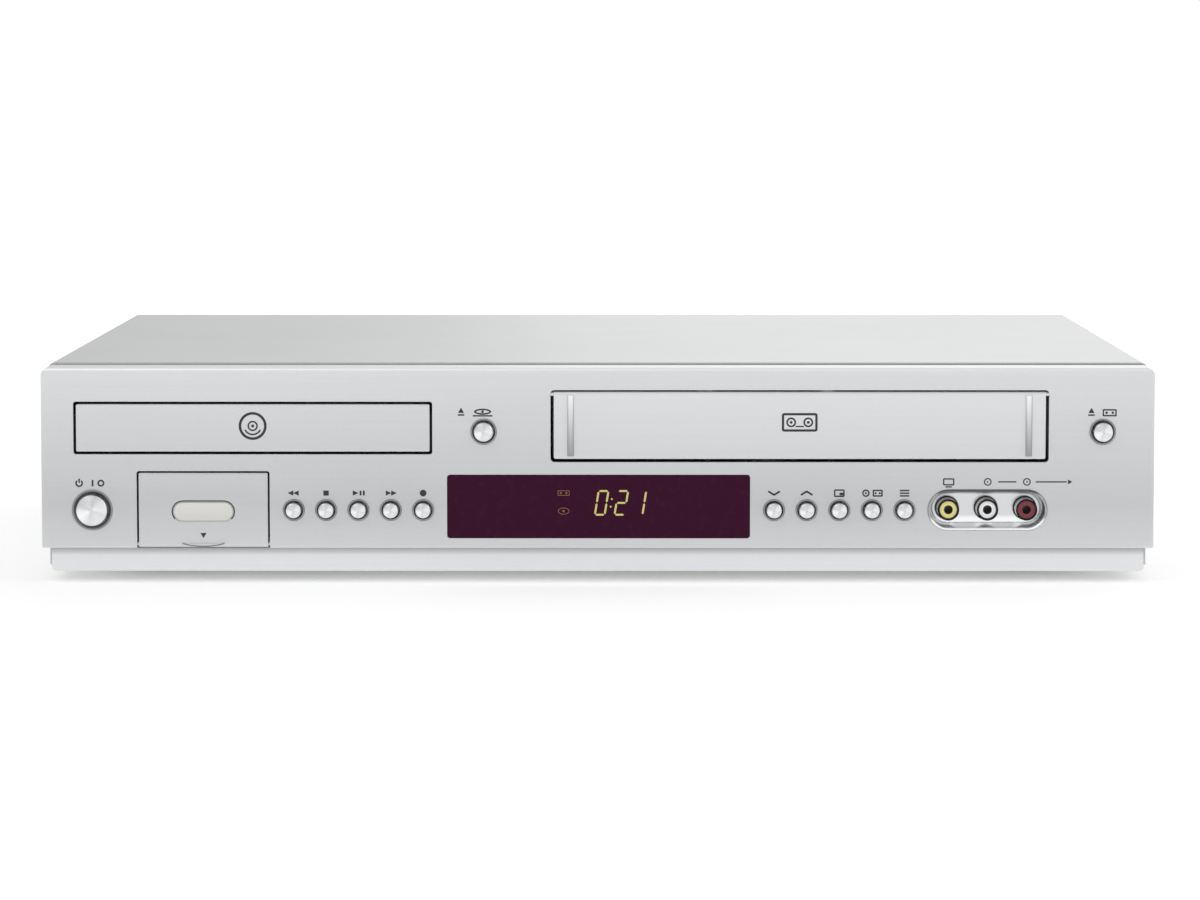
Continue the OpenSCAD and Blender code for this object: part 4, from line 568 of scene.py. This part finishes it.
def settle(piece):
    """Merges a piece's doubles and turns its faces outwards."""
    with editing(piece):
        bpy.ops.mesh.remove_doubles(threshold=1e-6)
        bpy.ops.mesh.normals_make_consistent(inside=False)
    return piece


def modify(piece, kind, **settings):
    """Adds a modifier and applies it."""
    activate(piece)
    modifier = piece.modifiers.new(kind.title(), kind)
    for name, value in settings.items():
        setattr(modifier, name, value)
    bpy.ops.object.modifier_apply(modifier=modifier.name)


def dress(piece, name, material, body):
    """Names a finished piece, gives it its finish and fixes it to its body."""
    piece.name = name
    piece.data.name = name
    piece.data.materials.clear()
    piece.data.materials.append(material)
    activate(piece)
    bpy.ops.object.shade_smooth_by_angle(angle=math.radians(32))
    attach(piece, body)


class Print:
    """Flat marks on a piece's foremost surface, joined into one thin raised piece."""

    def __init__(self, node, context):
        self.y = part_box(node)[0].y
        self.height = context.scene.player_sizes.mark_height
        self.marks = []

    def keep(self):
        """Takes the shape just made as one of the marks."""
        mark = fresh()
        self.marks.append(mark)
        return mark

    def disc(self, x, z, radius, sides, turn=0.0):
        """Makes a filled flat shape with a number of sides, not yet kept."""
        deselect_all()
        bpy.ops.mesh.primitive_circle_add(
            vertices=sides, radius=radius, fill_type="NGON", location=(x, self.y, z),
            rotation=(math.pi / 2, turn, 0))

    def polygon(self, x, z, radius, sides, turn=0.0, squash=1.0):
        """A filled regular shape; turn 0 points one corner to the right."""
        self.disc(x, z, radius, sides, math.pi / 2 - turn)
        mark = self.keep()
        if squash != 1.0:
            with editing(mark):
                bpy.ops.transform.resize(value=(1, 1, squash), center_override=(x, self.y, z))

    def bar(self, x, z, width, height, turn=0.0):
        """A filled rectangle, turned about its middle."""
        deselect_all()
        bpy.ops.mesh.primitive_plane_add(size=1, location=(x, self.y, z), rotation=(math.pi / 2, -turn, 0))
        bpy.context.active_object.scale = (width, height, 1)
        return self.keep()

    def ring(self, x, z, radius, wall, sides=28, squash=1.0, gap=None):
        """A round or oval line, open over an angle about the top where a gap is given."""
        self.disc(x, z, radius, sides)
        bpy.context.active_object.scale = (1, squash, 1)
        mark = self.keep()
        with editing(mark):
            bpy.ops.mesh.inset(thickness=wall)
            pick(mark, "faces", lambda f: len(f.verts) == sides)
            bpy.ops.mesh.delete(type="FACE")
            if gap:
                pick(mark, "faces", lambda f: abs(math.atan2(
                    f.calc_center_median().x - x, f.calc_center_median().z - z)) < gap)
                bpy.ops.mesh.delete(type="FACE")

    def frame(self, x, z, width, height, wall, corner, open_below=False):
        """A rounded rectangular line, open along its bottom where asked."""
        mark = self.bar(x, z, width, height)
        with editing(mark):
            bpy.ops.mesh.bevel(offset=corner, segments=4, affect="VERTICES")
            bpy.ops.mesh.select_all(action="SELECT")
            bpy.ops.mesh.inset(thickness=wall)
            pick(mark, "faces", lambda f: len(f.verts) > 4)
            bpy.ops.mesh.delete(type="FACE")
            if open_below:
                pick(mark, "faces", lambda f: f.calc_center_median().z < z - height * 0.3)
                bpy.ops.mesh.delete(type="FACE")

    def segment(self, x, z, length, width, turn):
        """One stroke of a figure, pointed at both ends."""
        mark = self.bar(x, z, length, width, turn)
        with editing(mark):
            bpy.ops.mesh.bevel(offset=width * 0.49, segments=1, affect="VERTICES")

    def finish(self, name, material, body):
        """Joins the marks and gives them their height."""
        activate(*self.marks)
        bpy.ops.object.join()
        piece = bpy.context.active_object
        with editing(piece):
            bpy.ops.mesh.normals_make_consistent(inside=False)
            pick(piece, "faces", lambda f: f.normal.y > 0)
            bpy.ops.mesh.flip_normals()
        modify(piece, "SOLIDIFY", thickness=self.height * 2, offset=0.0)
        dress(settle(piece), name, material, body)


# ---------- Sizes and colours ----------

class PlayerSizes(bpy.types.PropertyGroup):
    mark_height: FloatProperty(
        name="Mark height", description="How far a printed mark stands proud",
        default=0.00004, unit="LENGTH")
    mark_gap: FloatProperty(
        name="Mark gap", description="From a small button's centre up to its mark",
        default=0.0066, unit="LENGTH")
    badge_margin: FloatProperty(
        name="Badge margin", description="Dark line round the plate in the card door",
        default=0.0006, unit="LENGTH")
    badge_thickness: FloatProperty(
        name="Badge thickness", description="Thickness of the plate in the card door",
        default=0.00035, unit="LENGTH")
    figure_height: FloatProperty(
        name="Figure height", description="Height of the display's figures", default=0.0092, unit="LENGTH")
    figure_slant: FloatProperty(
        name="Figure slant", description="Lean of the display's figures",
        default=math.radians(9), subtype="ANGLE")
    mat_width: FloatProperty(
        name="Mat width", description="Width of the turntable's rubber ring", default=0.0042, unit="LENGTH")
    lens_sides: IntProperty(name="Lens sides", description="Facets round the pickup's lens", default=32)


class PlayerColours(bpy.types.PropertyGroup):
    front: FloatVectorProperty(
        name="Front", description="Silver lacquer of the front",
        subtype="COLOR", default=(0.745, 0.757, 0.767))
    flap: FloatVectorProperty(
        name="Cassette flap", description="Silver lacquer of the cassette flap",
        subtype="COLOR", default=(0.80, 0.815, 0.826))
    cover: FloatVectorProperty(
        name="Cover", description="Silver lacquer of the cover",
        subtype="COLOR", default=(0.74, 0.745, 0.75))
    skirt: FloatVectorProperty(
        name="Skirt", description="Paler strip below the front", subtype="COLOR", default=(0.83, 0.84, 0.86))
    print_ink: FloatVectorProperty(
        name="Print", description="Ink of the printed marks", subtype="COLOR", default=(0.018, 0.018, 0.02))
    window: FloatVectorProperty(
        name="Window", description="Tint of the display window",
        subtype="COLOR", default=(0.040, 0.004, 0.022))
    figures: FloatVectorProperty(
        name="Figures", description="Light of the display's figures",
        subtype="COLOR", default=(0.60, 0.56, 0.17))
    icons: FloatVectorProperty(
        name="Icons", description="Light of the display's dim icons",
        subtype="COLOR", default=(0.30, 0.13, 0.04))
    badge: FloatVectorProperty(
        name="Badge", description="Plate in the card door", subtype="COLOR", default=(0.80, 0.79, 0.765))


# ---------- Operators: finishes ----------

class PLAYER_OT_paint_casing(bpy.types.Operator):
    """Paint the front, its doors, the cover, the skirt and the feet"""
    bl_idname = "player.paint_casing"
    bl_label = "Paint the casing"

    def execute(self, context):
        colours = context.scene.player_colours
        # The band gives the front, its doors and the flap painted shade, deepest 17 mm above the front's
        # foot, and a painted highlight along the top edge.
        band = FACE_LOW_Z, FACE_LOW_Z + 17 * MM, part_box("front_panel")[1].z
        paint(silver_paint("front_lacquer", colours.front, band=band), "front_panel")
        paint(silver_paint("door_lacquer", colours.front, band=band), "tray_door", "card_door")
        # The flap's raised bars get a painted highlight and painted shade.
        proud = corners("cassette_door", 0.15 * MM)
        middle = (min(p.x for p in proud) + max(p.x for p in proud)) / 2
        reach = [abs(p.x - middle) for p in proud]
        near, far = min(reach), max(reach)
        bars = (min(p.z for p in proud), max(p.z for p in proud), middle, (near + far) / 2, (far - near) / 2)
        paint(silver_paint("flap_lacquer", colours.flap, band=band, bars=bars), "cassette_door")
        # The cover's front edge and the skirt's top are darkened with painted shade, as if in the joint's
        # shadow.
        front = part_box("top_cover")[0].y
        paint(silver_paint("cover_lacquer", colours.cover, grain=(30, 30, 900), edge=0.0004, gloss=0.42,
                           seam=(1, front + 0.2 * MM, front + 0.6 * MM, 0.28, 0.0)), "top_cover")
        paint(silver_paint("skirt_lacquer", colours.skirt, edge=0.0006, gloss=0.34,
                           seam=(2, FACE_LOW_Z - 3.0 * MM, FACE_LOW_Z - 0.2 * MM, 0.0, 0.7)), "front_skirt")
        paint(rubber("foot_rubber", (0.03, 0.03, 0.032)), "feet")
        paint(bright_metal("black_screws", (0.06, 0.06, 0.065), 0.35), "case_screws")
        paint(smoked_window("window_plastic", colours.window), "display_window")
        return {"FINISHED"}


class PLAYER_OT_finish_controls(bpy.types.Operator):
    """Finish the button caps, their rings and the front sockets"""
    bl_idname = "player.finish_controls"
    bl_label = "Finish the controls"

    def execute(self, context):
        for name in NODES:
            if name.endswith("_button"):
                paint(spun_cap(name + "_metal", (0.84, 0.85, 0.86), name), name)
        paint(bright_metal("ring_plating", (0.34, 0.345, 0.355), 0.38), "button_rings")
        paint(satin_recess("recess_plating", (0.67, 0.675, 0.69)), "jack_surround")
        paint(turned_shell("nickel_shells", (0.97, 0.97, 0.97)), "front_jack_shells")
        for name, base in (("video_insert", (0.90, 0.80, 0.30)), ("left_audio_insert", (0.97, 0.97, 0.96)),
                           ("right_audio_insert", (0.24, 0.008, 0.026))):
            paint(jack_plastic(name + "_plastic", base, name), name)
        return {"FINISHED"}


class PLAYER_OT_finish_mechanism(bpy.types.Operator):
    """Finish the disc loader and the tape deck"""
    bl_idname = "player.finish_mechanism"
    bl_label = "Finish the mechanisms"

    def execute(self, context):
        paint(moulded("tray_plastic", (0.055, 0.056, 0.06)), "disc_tray")
        paint(moulded("loader_plastic", (0.035, 0.035, 0.038)), "loader_frame", "card_reader",
              "optical_pickup")
        paint(moulded("clamp_plastic", (0.05, 0.05, 0.052), 0.42), "disc_clamp", "turntable", "pinch_arm")
        paint(moulded("reel_plastic", (0.75, 0.74, 0.70), 0.4), "supply_reel", "takeup_reel")
        paint(moulded("gear_acetal", (0.84, 0.83, 0.76), 0.35, grain=1800, depth=0.000008), "tray_gear",
              "pulley_gear", "motor_pulley")
        paint(rubber("belt_rubber", (0.02, 0.02, 0.02)), "loader_belt")
        paint(plain_sheet("zinc_sheet", (0.62, 0.62, 0.60)), "chassis_pan", "rear_panel", "clamp_bridge",
              "deck_plate", "carriage_frame", "cassette_holder", "traverse_frame", "tuner_module")
        paint(bright_metal("motor_plating", (0.58, 0.58, 0.57), 0.28), "loader_motor", "loading_motor")
        paint(bright_metal("ground_steel", (0.70, 0.70, 0.70), 0.1), "pickup_rails", "capstan")
        paint(bright_metal("drum_aluminium", (0.80, 0.80, 0.80), 0.2, scratch=(30, 30, 3000)), "drum_base",
              "drum_rotor")
        return {"FINISHED"}


class PLAYER_OT_finish_boards(bpy.types.Operator):
    """Finish the circuit boards and the rear sockets"""
    bl_idname = "player.finish_boards"
    bl_label = "Finish the boards"

    def execute(self, context):
        green, tan = (0.03, 0.16, 0.06), (0.40, 0.26, 0.10)
        main_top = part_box("main_board")[0].z + BOARD_TOP
        power_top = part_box("power_board")[0].z + BOARD_TOP
        above_all = 1.0
        paint(circuit_board("main_board_mask", green, main_top), "main_board")
        paint(circuit_board("power_board_mask", tan, power_top), "power_board")
        paint(circuit_board("key_board_mask", green, above_all), "front_boards")
        paint(jack_block("rear_jack_finish"), "rear_jacks")
        paint(mains_socket("mains_inlet_finish"), "mains_inlet")
        return {"FINISHED"}


# ---------- Operators: fittings ----------

def eject_mark(marks, x, z, size):
    """A triangle over a bar."""
    marks.polygon(x, z + size * 0.25, size * 0.62, 3, UP)
    marks.bar(x, z - size * 0.42, size * 1.15, size * 0.26)


def cassette_mark(marks, x, z, width, height, line, corner, reach, hub):
    """A frame round two hubs."""
    marks.frame(x, z, width, height, line, corner)
    for side in (-1, 1):
        marks.polygon(x + side * reach, z, hub, 12)


class PLAYER_OT_print_buttons(bpy.types.Operator):
    """Print the marks over the buttons"""
    bl_idname = "player.print_buttons"
    bl_label = "Print the button marks"

    def execute(self, context):
        marks = Print("front_panel", context)
        gap = context.scene.player_sizes.mark_gap
        size = 2.6 * MM
        flat = 0.8
        x, z = spot("rewind_button", gap)
        for shift in (-0.34, 0.46):
            marks.polygon(x + shift * size, z, size * 0.56, 3, LEFT, flat)
        x, z = spot("stop_button", gap)
        marks.bar(x, z, size * 0.8, size * 0.76)
        x, z = spot("play_button", gap)
        marks.polygon(x - size * 0.55, z, size * 0.58, 3, RIGHT, flat)
        for shift in (0.32, 0.8):
            marks.bar(x + shift * size, z, size * 0.28, size * 0.72)
        x, z = spot("fast_forward_button", gap)
        for shift in (-0.46, 0.34):
            marks.polygon(x + shift * size, z, size * 0.56, 3, RIGHT, flat)
        x, z = spot("record_button", gap)
        marks.polygon(x, z, size * 0.5, 24)
        for name, tilt in (("channel_down_button", -1), ("channel_up_button", 1)):
            x, z = spot(name, gap)
            for side in (-1, 1):
                turn = -side * tilt * math.radians(32)
                marks.bar(x + side * size * 0.42, z, size * 1.05, size * 0.28, turn)
        x, z = spot("view_button", gap)
        marks.frame(x, z, size * 1.6, size * 1.15, size * 0.22, size * 0.2)
        marks.bar(x + size * 0.3, z - size * 0.12, size * 0.55, size * 0.4)
        x, z = spot("source_button", gap)
        marks.ring(x - size * 0.9, z, size * 0.56, size * 0.22)
        marks.polygon(x - size * 0.9, z, size * 0.15, 12)
        cassette_mark(marks, x + size * 0.85, z, size * 1.5, size * 1.05, size * 0.22, size * 0.15,
                      size * 0.3, size * 0.16)
        x, z = spot("scan_button", gap)
        for step in (-1, 0, 1):
            marks.bar(x, z + step * size * 0.4, size * 1.4, size * 0.22)
        marks.finish("button_marks", ink("button_ink", context.scene.player_colours.print_ink), "casing")
        return {"FINISHED"}


class PLAYER_OT_print_front(bpy.types.Operator):
    """Print the marks over the power, open and eject buttons and the front sockets"""
    bl_idname = "player.print_front"
    bl_label = "Print the front marks"

    def execute(self, context):
        marks = Print("front_panel", context)
        upper_gap, power_gap, jack_gap = 7.4 * MM, 10.4 * MM, 10.9 * MM
        line = 0.5 * MM
        x, z = spot("power_button", power_gap, -5.0 * MM)
        marks.ring(x, z, 1.5 * MM, 0.62 * MM, gap=math.radians(34))
        marks.bar(x, z + 1.0 * MM, 0.6 * MM, 1.6 * MM)
        marks.bar(x + 5.2 * MM, z, 0.7 * MM, 2.5 * MM)
        marks.ring(x + 8.4 * MM, z, 1.35 * MM, 0.62 * MM)
        for name, shift in (("tray_open_button", -8.7 * MM), ("eject_button", -4.4 * MM)):
            eject_mark(marks, *spot(name, upper_gap, shift), 2.2 * MM)
        x, z = spot("tray_open_button", upper_gap, -0.4 * MM)
        marks.ring(x, z + 0.35 * MM, 3.3 * MM, 0.6 * MM, 32, 0.36)
        marks.polygon(x, z + 0.35 * MM, 0.5 * MM, 12)
        marks.bar(x, z - 1.25 * MM, 7.6 * MM, 0.55 * MM)
        x, z = spot("eject_button", upper_gap, 2.6 * MM)
        cassette_mark(marks, x, z, 5.4 * MM, 2.8 * MM, 0.55 * MM, 0.3 * MM, 1.2 * MM, 0.5 * MM)
        video, left, right = (centre_of(side + "_insert") for side in ("video", "left_audio", "right_audio"))
        z = video.z + jack_gap
        marks.frame(video.x, z, 4.4 * MM, 2.8 * MM, 0.52 * MM, 0.5 * MM)
        marks.bar(video.x, z - 1.95 * MM, 2.4 * MM, line)
        for jack in (left, right):
            marks.ring(jack.x, z, 1.5 * MM, 0.46 * MM)
        marks.polygon(left.x - 0.1 * MM, z, 0.5 * MM, 3, LEFT)
        marks.polygon(right.x + 0.1 * MM, z, 0.5 * MM, 3, RIGHT)
        marks.bar((left.x + right.x) / 2, z, 7.0 * MM, line)
        marks.bar(right.x + 9.4 * MM, z, 12.0 * MM, line)
        marks.polygon(right.x + 16.4 * MM, z, 1.1 * MM, 3, RIGHT)
        marks.finish("front_marks", ink("front_ink", context.scene.player_colours.print_ink), "casing")
        return {"FINISHED"}


class PLAYER_OT_print_doors(bpy.types.Operator):
    """Print the disc, cassette and card marks on their doors, with painted shadow lines round the badge and
    along the card door's lip
    """
    bl_idname = "player.print_doors"
    bl_label = "Print the door marks"

    def execute(self, context):
        door_ink = ink("door_ink", context.scene.player_colours.print_ink)
        disc = Print("tray_door", context)
        x, z = spot("tray_door", 0.8 * MM)
        disc.ring(x, z, 5.4 * MM, 1.0 * MM, 48)
        disc.ring(x, z, 2.0 * MM, 0.6 * MM)
        disc.polygon(x, z, 0.6 * MM, 20)
        disc.ring(x, z, 3.6 * MM, 0.6 * MM, 40, gap=math.radians(118))
        disc.finish("disc_mark", door_ink, "tray_body")
        tape = Print("front_panel", context)
        x, z = spot("cassette_door", 1.2 * MM)
        tape.frame(x, z, 13.8 * MM, 7.2 * MM, 0.9 * MM, 0.9 * MM)
        for side in (-1, 1):
            tape.ring(x + side * 3.3 * MM, z, 1.9 * MM, 0.65 * MM, 24)
            tape.polygon(x + side * 3.3 * MM, z, 0.6 * MM, 6)
        tape.bar(x, z - 1.6 * MM, 3.2 * MM, 0.5 * MM)
        tape.finish("tape_mark", door_ink, "cassette_door_body")
        card = Print("front_panel", context)
        x, low = centre_of("card_door").x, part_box("card_door")[0].z
        card.polygon(x, low + 4.9 * MM, 1.35 * MM, 3, DOWN)
        # The frame round the badge, open below, is painted shadow: a dark line along the recess's upper and
        # side edges, printed in ink.
        card.frame(x, BADGE_Z, 24.6 * MM, 8.7 * MM, 0.45 * MM, 4.3 * MM, open_below=True)
        card.finish("card_mark", door_ink, "card_door_body")
        # Painted shadow: a thin dark line along the finger lip's lower edge, laid on as an ink mark.
        lip = Print("card_door", context)
        front = corners("card_door", 0.5 * MM)
        foot = min(c.z for c in front)
        rise = max(c.z for c in front) - foot
        half = max(c.x for c in front) - x
        bow = (half * half + rise * rise) / (2 * rise)
        lip.ring(x, foot + bow, bow, 0.38 * MM, 240, gap=math.pi - math.asin(half / bow) * 0.97)
        lip.finish("lip_line", ink("lip_shade", (0.16, 0.16, 0.165)), "card_door_body")
        return {"FINISHED"}


class PLAYER_OT_fit_badge(bpy.types.Operator):
    """Fit the bare oval plate in the card door's recess"""
    bl_idname = "player.fit_badge"
    bl_label = "Fit the badge plate"

    def execute(self, context):
        thickness = context.scene.player_sizes.badge_thickness
        margin = context.scene.player_sizes.badge_margin
        badge = context.scene.player_colours.badge
        width, height = 24 * MM - 2 * margin, 8.1 * MM - 2 * margin
        x, seat = centre_of("card_door").x, FACE_Y + 0.5 * MM
        deselect_all()
        bpy.ops.mesh.primitive_cylinder_add(
            vertices=64, radius=height / 2, depth=thickness,
            location=(x, seat - thickness / 2, BADGE_Z), rotation=(math.pi / 2, 0, 0))
        plate = fresh()
        stretch = (width - height) / 2
        with editing(plate):
            for side in (-1, 1):
                pick(plate, "verts", lambda v: side * (v.co.x - x) > 1e-6)
                bpy.ops.transform.translate(value=(side * stretch, 0, 0))
            front = seat - thickness
            pick(plate, "faces", lambda f: f.normal.y < -0.9)
            bpy.ops.mesh.inset(thickness=0.5 * MM)
            bpy.ops.transform.translate(value=(0, 0.06 * MM, 0))
            pick(plate, "edges", lambda e: len(e.link_faces) == 2 and abs(middle_of(e).y - front) < 1e-6
                 and any(abs(f.normal.y) < 0.1 for f in e.link_faces))
            bpy.ops.mesh.bevel(offset=0.12 * MM, segments=3, affect="EDGES")
        g = Graph("badge_plate_metal")
        brushed = g.streaks((60, 500, 3200))
        tint = g.mix(brushed, shade(badge, 0.85), badge)
        finish = g.surface(tint, 0.34 + 0.12 * brushed, g.bump(brushed, 0.000005), 0.7)
        dress(settle(plate), "badge_plate", finish, "card_door_body")
        return {"FINISHED"}


class PLAYER_OT_light_display(bpy.types.Operator):
    """Light the display's figures and icons"""
    bl_idname = "player.light_display"
    bl_label = "Light the display"

    def execute(self, context):
        sizes = context.scene.player_sizes
        colours = context.scene.player_colours
        height = sizes.figure_height
        width, stroke = height * 0.41, height * 0.08
        lean = math.tan(sizes.figure_slant)
        middle_z = centre_of("display_window").z + 1.4 * MM
        left_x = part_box("display_window")[0].x + 58.1 * MM
        figures = Print("display_window", context)

        def stroke_at(origin, column, row, upright):
            """A stroke at a column and row, from -1 to 1, about a figure's middle."""
            x = origin + column * width / 2 + row * height / 2 * lean
            z = middle_z + row * height / 2
            length = (height / 2 if upright else width) - stroke * 0.5
            figures.segment(x, z, length, stroke, UP - sizes.figure_slant if upright else 0.0)

        strokes = {"top": (0, 1, False), "centre": (0, 0, False), "bottom": (0, -1, False),
                   "high_left": (-1, 0.5, True), "high_right": (1, 0.5, True),
                   "low_left": (-1, -0.5, True), "low_right": (1, -0.5, True)}
        shown = {0: ("top", "bottom", "high_left", "high_right", "low_left", "low_right"),
                 2: ("top", "centre", "bottom", "high_right", "low_left"),
                 1: ("high_right", "low_right")}
        for figure, shift in ((0, 1.5 * MM), (2, 9.1 * MM), (1, 16.1 * MM)):
            for name in shown[figure]:
                stroke_at(left_x + shift, *strokes[name])
        for row in (-0.32, 0.32):
            up = row * height / 2
            figures.polygon(left_x + 5.2 * MM + up * lean, middle_z + up, 0.45 * MM, 4)
        figures.finish("display_figures", glow("figure_light", colours.figures, 0.75), "casing")
        icons = Print("display_window", context)
        x, tape_z, disc_z = left_x - 13.2 * MM, middle_z + 3.8 * MM, middle_z - 3.2 * MM
        cassette_mark(icons, x, tape_z, 4.6 * MM, 2.0 * MM, 0.24 * MM, 0.3 * MM, 1.1 * MM, 0.4 * MM)
        icons.ring(x, disc_z, 2.2 * MM, 0.24 * MM, 28, 0.62)
        icons.polygon(x, disc_z, 0.45 * MM, 12)
        icons.finish("display_icons", glow("icon_light", colours.icons, 0.5), "casing")
        return {"FINISHED"}


class PLAYER_OT_fit_disc_parts(bpy.types.Operator):
    """Fit the turntable's rubber ring and the pickup's lens"""
    bl_idname = "player.fit_disc_parts"
    bl_label = "Fit the mat and the lens"

    def execute(self, context):
        sizes = context.scene.player_sizes
        middle = centre_of("turntable")
        hub_height, sides = 1.6 * MM, 64
        platter_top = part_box("turntable")[1].z - hub_height
        deselect_all()
        bpy.ops.mesh.primitive_circle_add(
            vertices=sides, radius=14.2 * MM, fill_type="NGON", location=(middle.x, middle.y, platter_top))
        mat = fresh()
        with editing(mat):
            bpy.ops.mesh.inset(thickness=sizes.mat_width)
            pick(mat, "faces", lambda f: len(f.verts) == sides)
            bpy.ops.mesh.delete(type="FACE")
        modify(mat, "SOLIDIFY", thickness=0.7 * MM, offset=0.0)
        modify(mat, "BEVEL", width=0.12 * MM, segments=2, limit_method="ANGLE")
        dress(settle(mat), "turntable_mat", rubber("mat_rubber", (0.025, 0.025, 0.027)), "turntable_body")

        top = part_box("optical_pickup")[1].z
        lens_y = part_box("optical_pickup")[0].y + 8 * MM
        deselect_all()
        bpy.ops.mesh.primitive_uv_sphere_add(
            segments=sizes.lens_sides, ring_count=16, radius=2.0 * MM,
            location=(middle.x, lens_y, top - 1.4 * MM))
        lens = fresh()
        with editing(lens):
            bpy.ops.mesh.bisect(
                plane_co=(middle.x, lens_y, top - 0.1 * MM), plane_no=(0, 0, 1),
                use_fill=True, clear_inner=True)
        g = Graph("lens_glass")
        haze = g.noise(900.0).fade(0.4, 0.8)
        glass = g.surface(g.mix(haze, (0.04, 0.06, 0.14), (0.08, 0.05, 0.16)), 0.05 + 0.05 * haze,
                          g.bump(haze, 0.000001), 0.0, coat_weight=1.0, coat_roughness=0.03)
        dress(settle(lens), "pickup_lens", glass, "pickup_body")
        return {"FINISHED"}


# ---------- Stage ----------

class PLAYER_OT_set_stage(bpy.types.Operator):
    """Set up the camera, the pale floor and the soft lights"""
    bl_idname = "player.set_stage"
    bl_label = "Set the stage"

    def execute(self, context):
        scene = context.scene
        camera = bpy.data.objects.new("camera", bpy.data.cameras.new("camera"))
        scene.collection.objects.link(camera)
        camera.data.lens = 135.4
        camera.data.clip_end = 60
        camera.location = (0.0058, -1.9034, 0.2072)
        camera.rotation_euler = (math.radians(90 - 5.1), 0, math.radians(0.16))
        scene.camera = camera
        scene.view_settings.view_transform = "Standard"

        deselect_all()
        bpy.ops.mesh.primitive_plane_add(size=80)
        floor = context.active_object
        floor.name = "floor"
        g = Graph("floor_paper")
        fibre = g.noise(260.0, 3.0)
        paper = g.mix(fibre, (0.86, 0.86, 0.86), (0.88, 0.88, 0.88))
        x, y, _ = g.axes()
        near_lift, far_lift, shadow = 0.36, 0.6, 0.38
        away = (x * x + y * y).fade(0.15, 2.5, near_lift, far_lift)
        # Painted shadow: the floor's glow is lowered beneath the set.
        under = abs(x).fade(0.21, 0.18) * abs(y).fade(0.156, 0.126)
        lift = g.mix(away * (1 - shadow * under), BLACK, (1.0, 1.0, 1.0))
        g.surface(paper, 0.9, None, 0.0, emission_color=lift, emission_strength=1.0)
        floor.data.materials.append(g.material)

        g = Graph("studio", "worlds")
        x, y, _ = g.axes(g.add("TexCoord", output="Generated"))
        level = 0.62
        soft = level + y.fade(0.1, 0.6) * x.fade(-0.2, 0.04, -0.12, 0.18)
        seen = g.add("LightPath", output="Is Camera Ray")
        light = g.add("Background", None, {"Color": (1, 1, 1, 1), "Strength": soft + seen * (1 - soft)})
        g.add("OutputWorld", None, {"Surface": light})
        scene.world = g.material

        for name, place, aim, size, power in (
                ("key", (-1.1, -1.6, 1.9), (0, 0, 0.05), (1.4, 1.0), 9.0),
                ("fill", (1.5, -1.0, 1.0), (0, 0, 0.08), (0.9, 0.9), 3.0),
                ("back", (0.4, 0.85, 0.6), (0.08, 0, 0.08), (1.1, 0.8), 1.5)):
            data = bpy.data.lights.new(name, "AREA")
            data.shape = "RECTANGLE"
            data.size, data.size_y = size
            data.energy = power
            light = bpy.data.objects.new(name, data)
            scene.collection.objects.link(light)
            light.location = place
            light.rotation_euler = (Vector(aim) - Vector(place)).to_track_quat("-Z", "Y").to_euler()
        return {"FINISHED"}


class PLAYER_PT_panel(bpy.types.Panel):
    """The player's finishes and fittings"""
    bl_idname = "PLAYER_PT_panel"
    bl_label = "Disc and cassette player"
    bl_space_type = "VIEW_3D"
    bl_region_type = "UI"
    bl_category = "Player"

    def draw(self, context):
        for group in (context.scene.player_sizes, context.scene.player_colours):
            box = self.layout.box()
            for name in group.bl_rna.properties.keys():
                if name not in ("rna_type", "name"):
                    box.prop(group, name)
        for operator in OPERATORS:
            self.layout.operator(operator.bl_idname)


OPERATORS = (PLAYER_OT_set_stage, PLAYER_OT_paint_casing, PLAYER_OT_finish_controls,
             PLAYER_OT_finish_mechanism, PLAYER_OT_finish_boards, PLAYER_OT_print_buttons,
             PLAYER_OT_print_front, PLAYER_OT_print_doors, PLAYER_OT_fit_badge,
             PLAYER_OT_light_display, PLAYER_OT_fit_disc_parts)
CLASSES = (PlayerSizes, PlayerColours, *OPERATORS, PLAYER_PT_panel)


def register():
    for cls in CLASSES:
        bpy.utils.register_class(cls)
    bpy.types.Scene.player_sizes = PointerProperty(type=PlayerSizes)
    bpy.types.Scene.player_colours = PointerProperty(type=PlayerColours)


def unregister():
    del bpy.types.Scene.player_colours
    del bpy.types.Scene.player_sizes
    for cls in reversed(CLASSES):
        bpy.utils.unregister_class(cls)


def main():
    register()
    bpy.ops.player.set_stage()
    bpy.ops.player.paint_casing()
    bpy.ops.player.finish_controls()
    bpy.ops.player.finish_mechanism()
    bpy.ops.player.finish_boards()
    bpy.ops.player.print_buttons()
    bpy.ops.player.print_front()
    bpy.ops.player.print_doors()
    bpy.ops.player.fit_badge()
    bpy.ops.player.light_display()
    bpy.ops.player.fit_disc_parts()


if __name__ == "__main__":
    main()
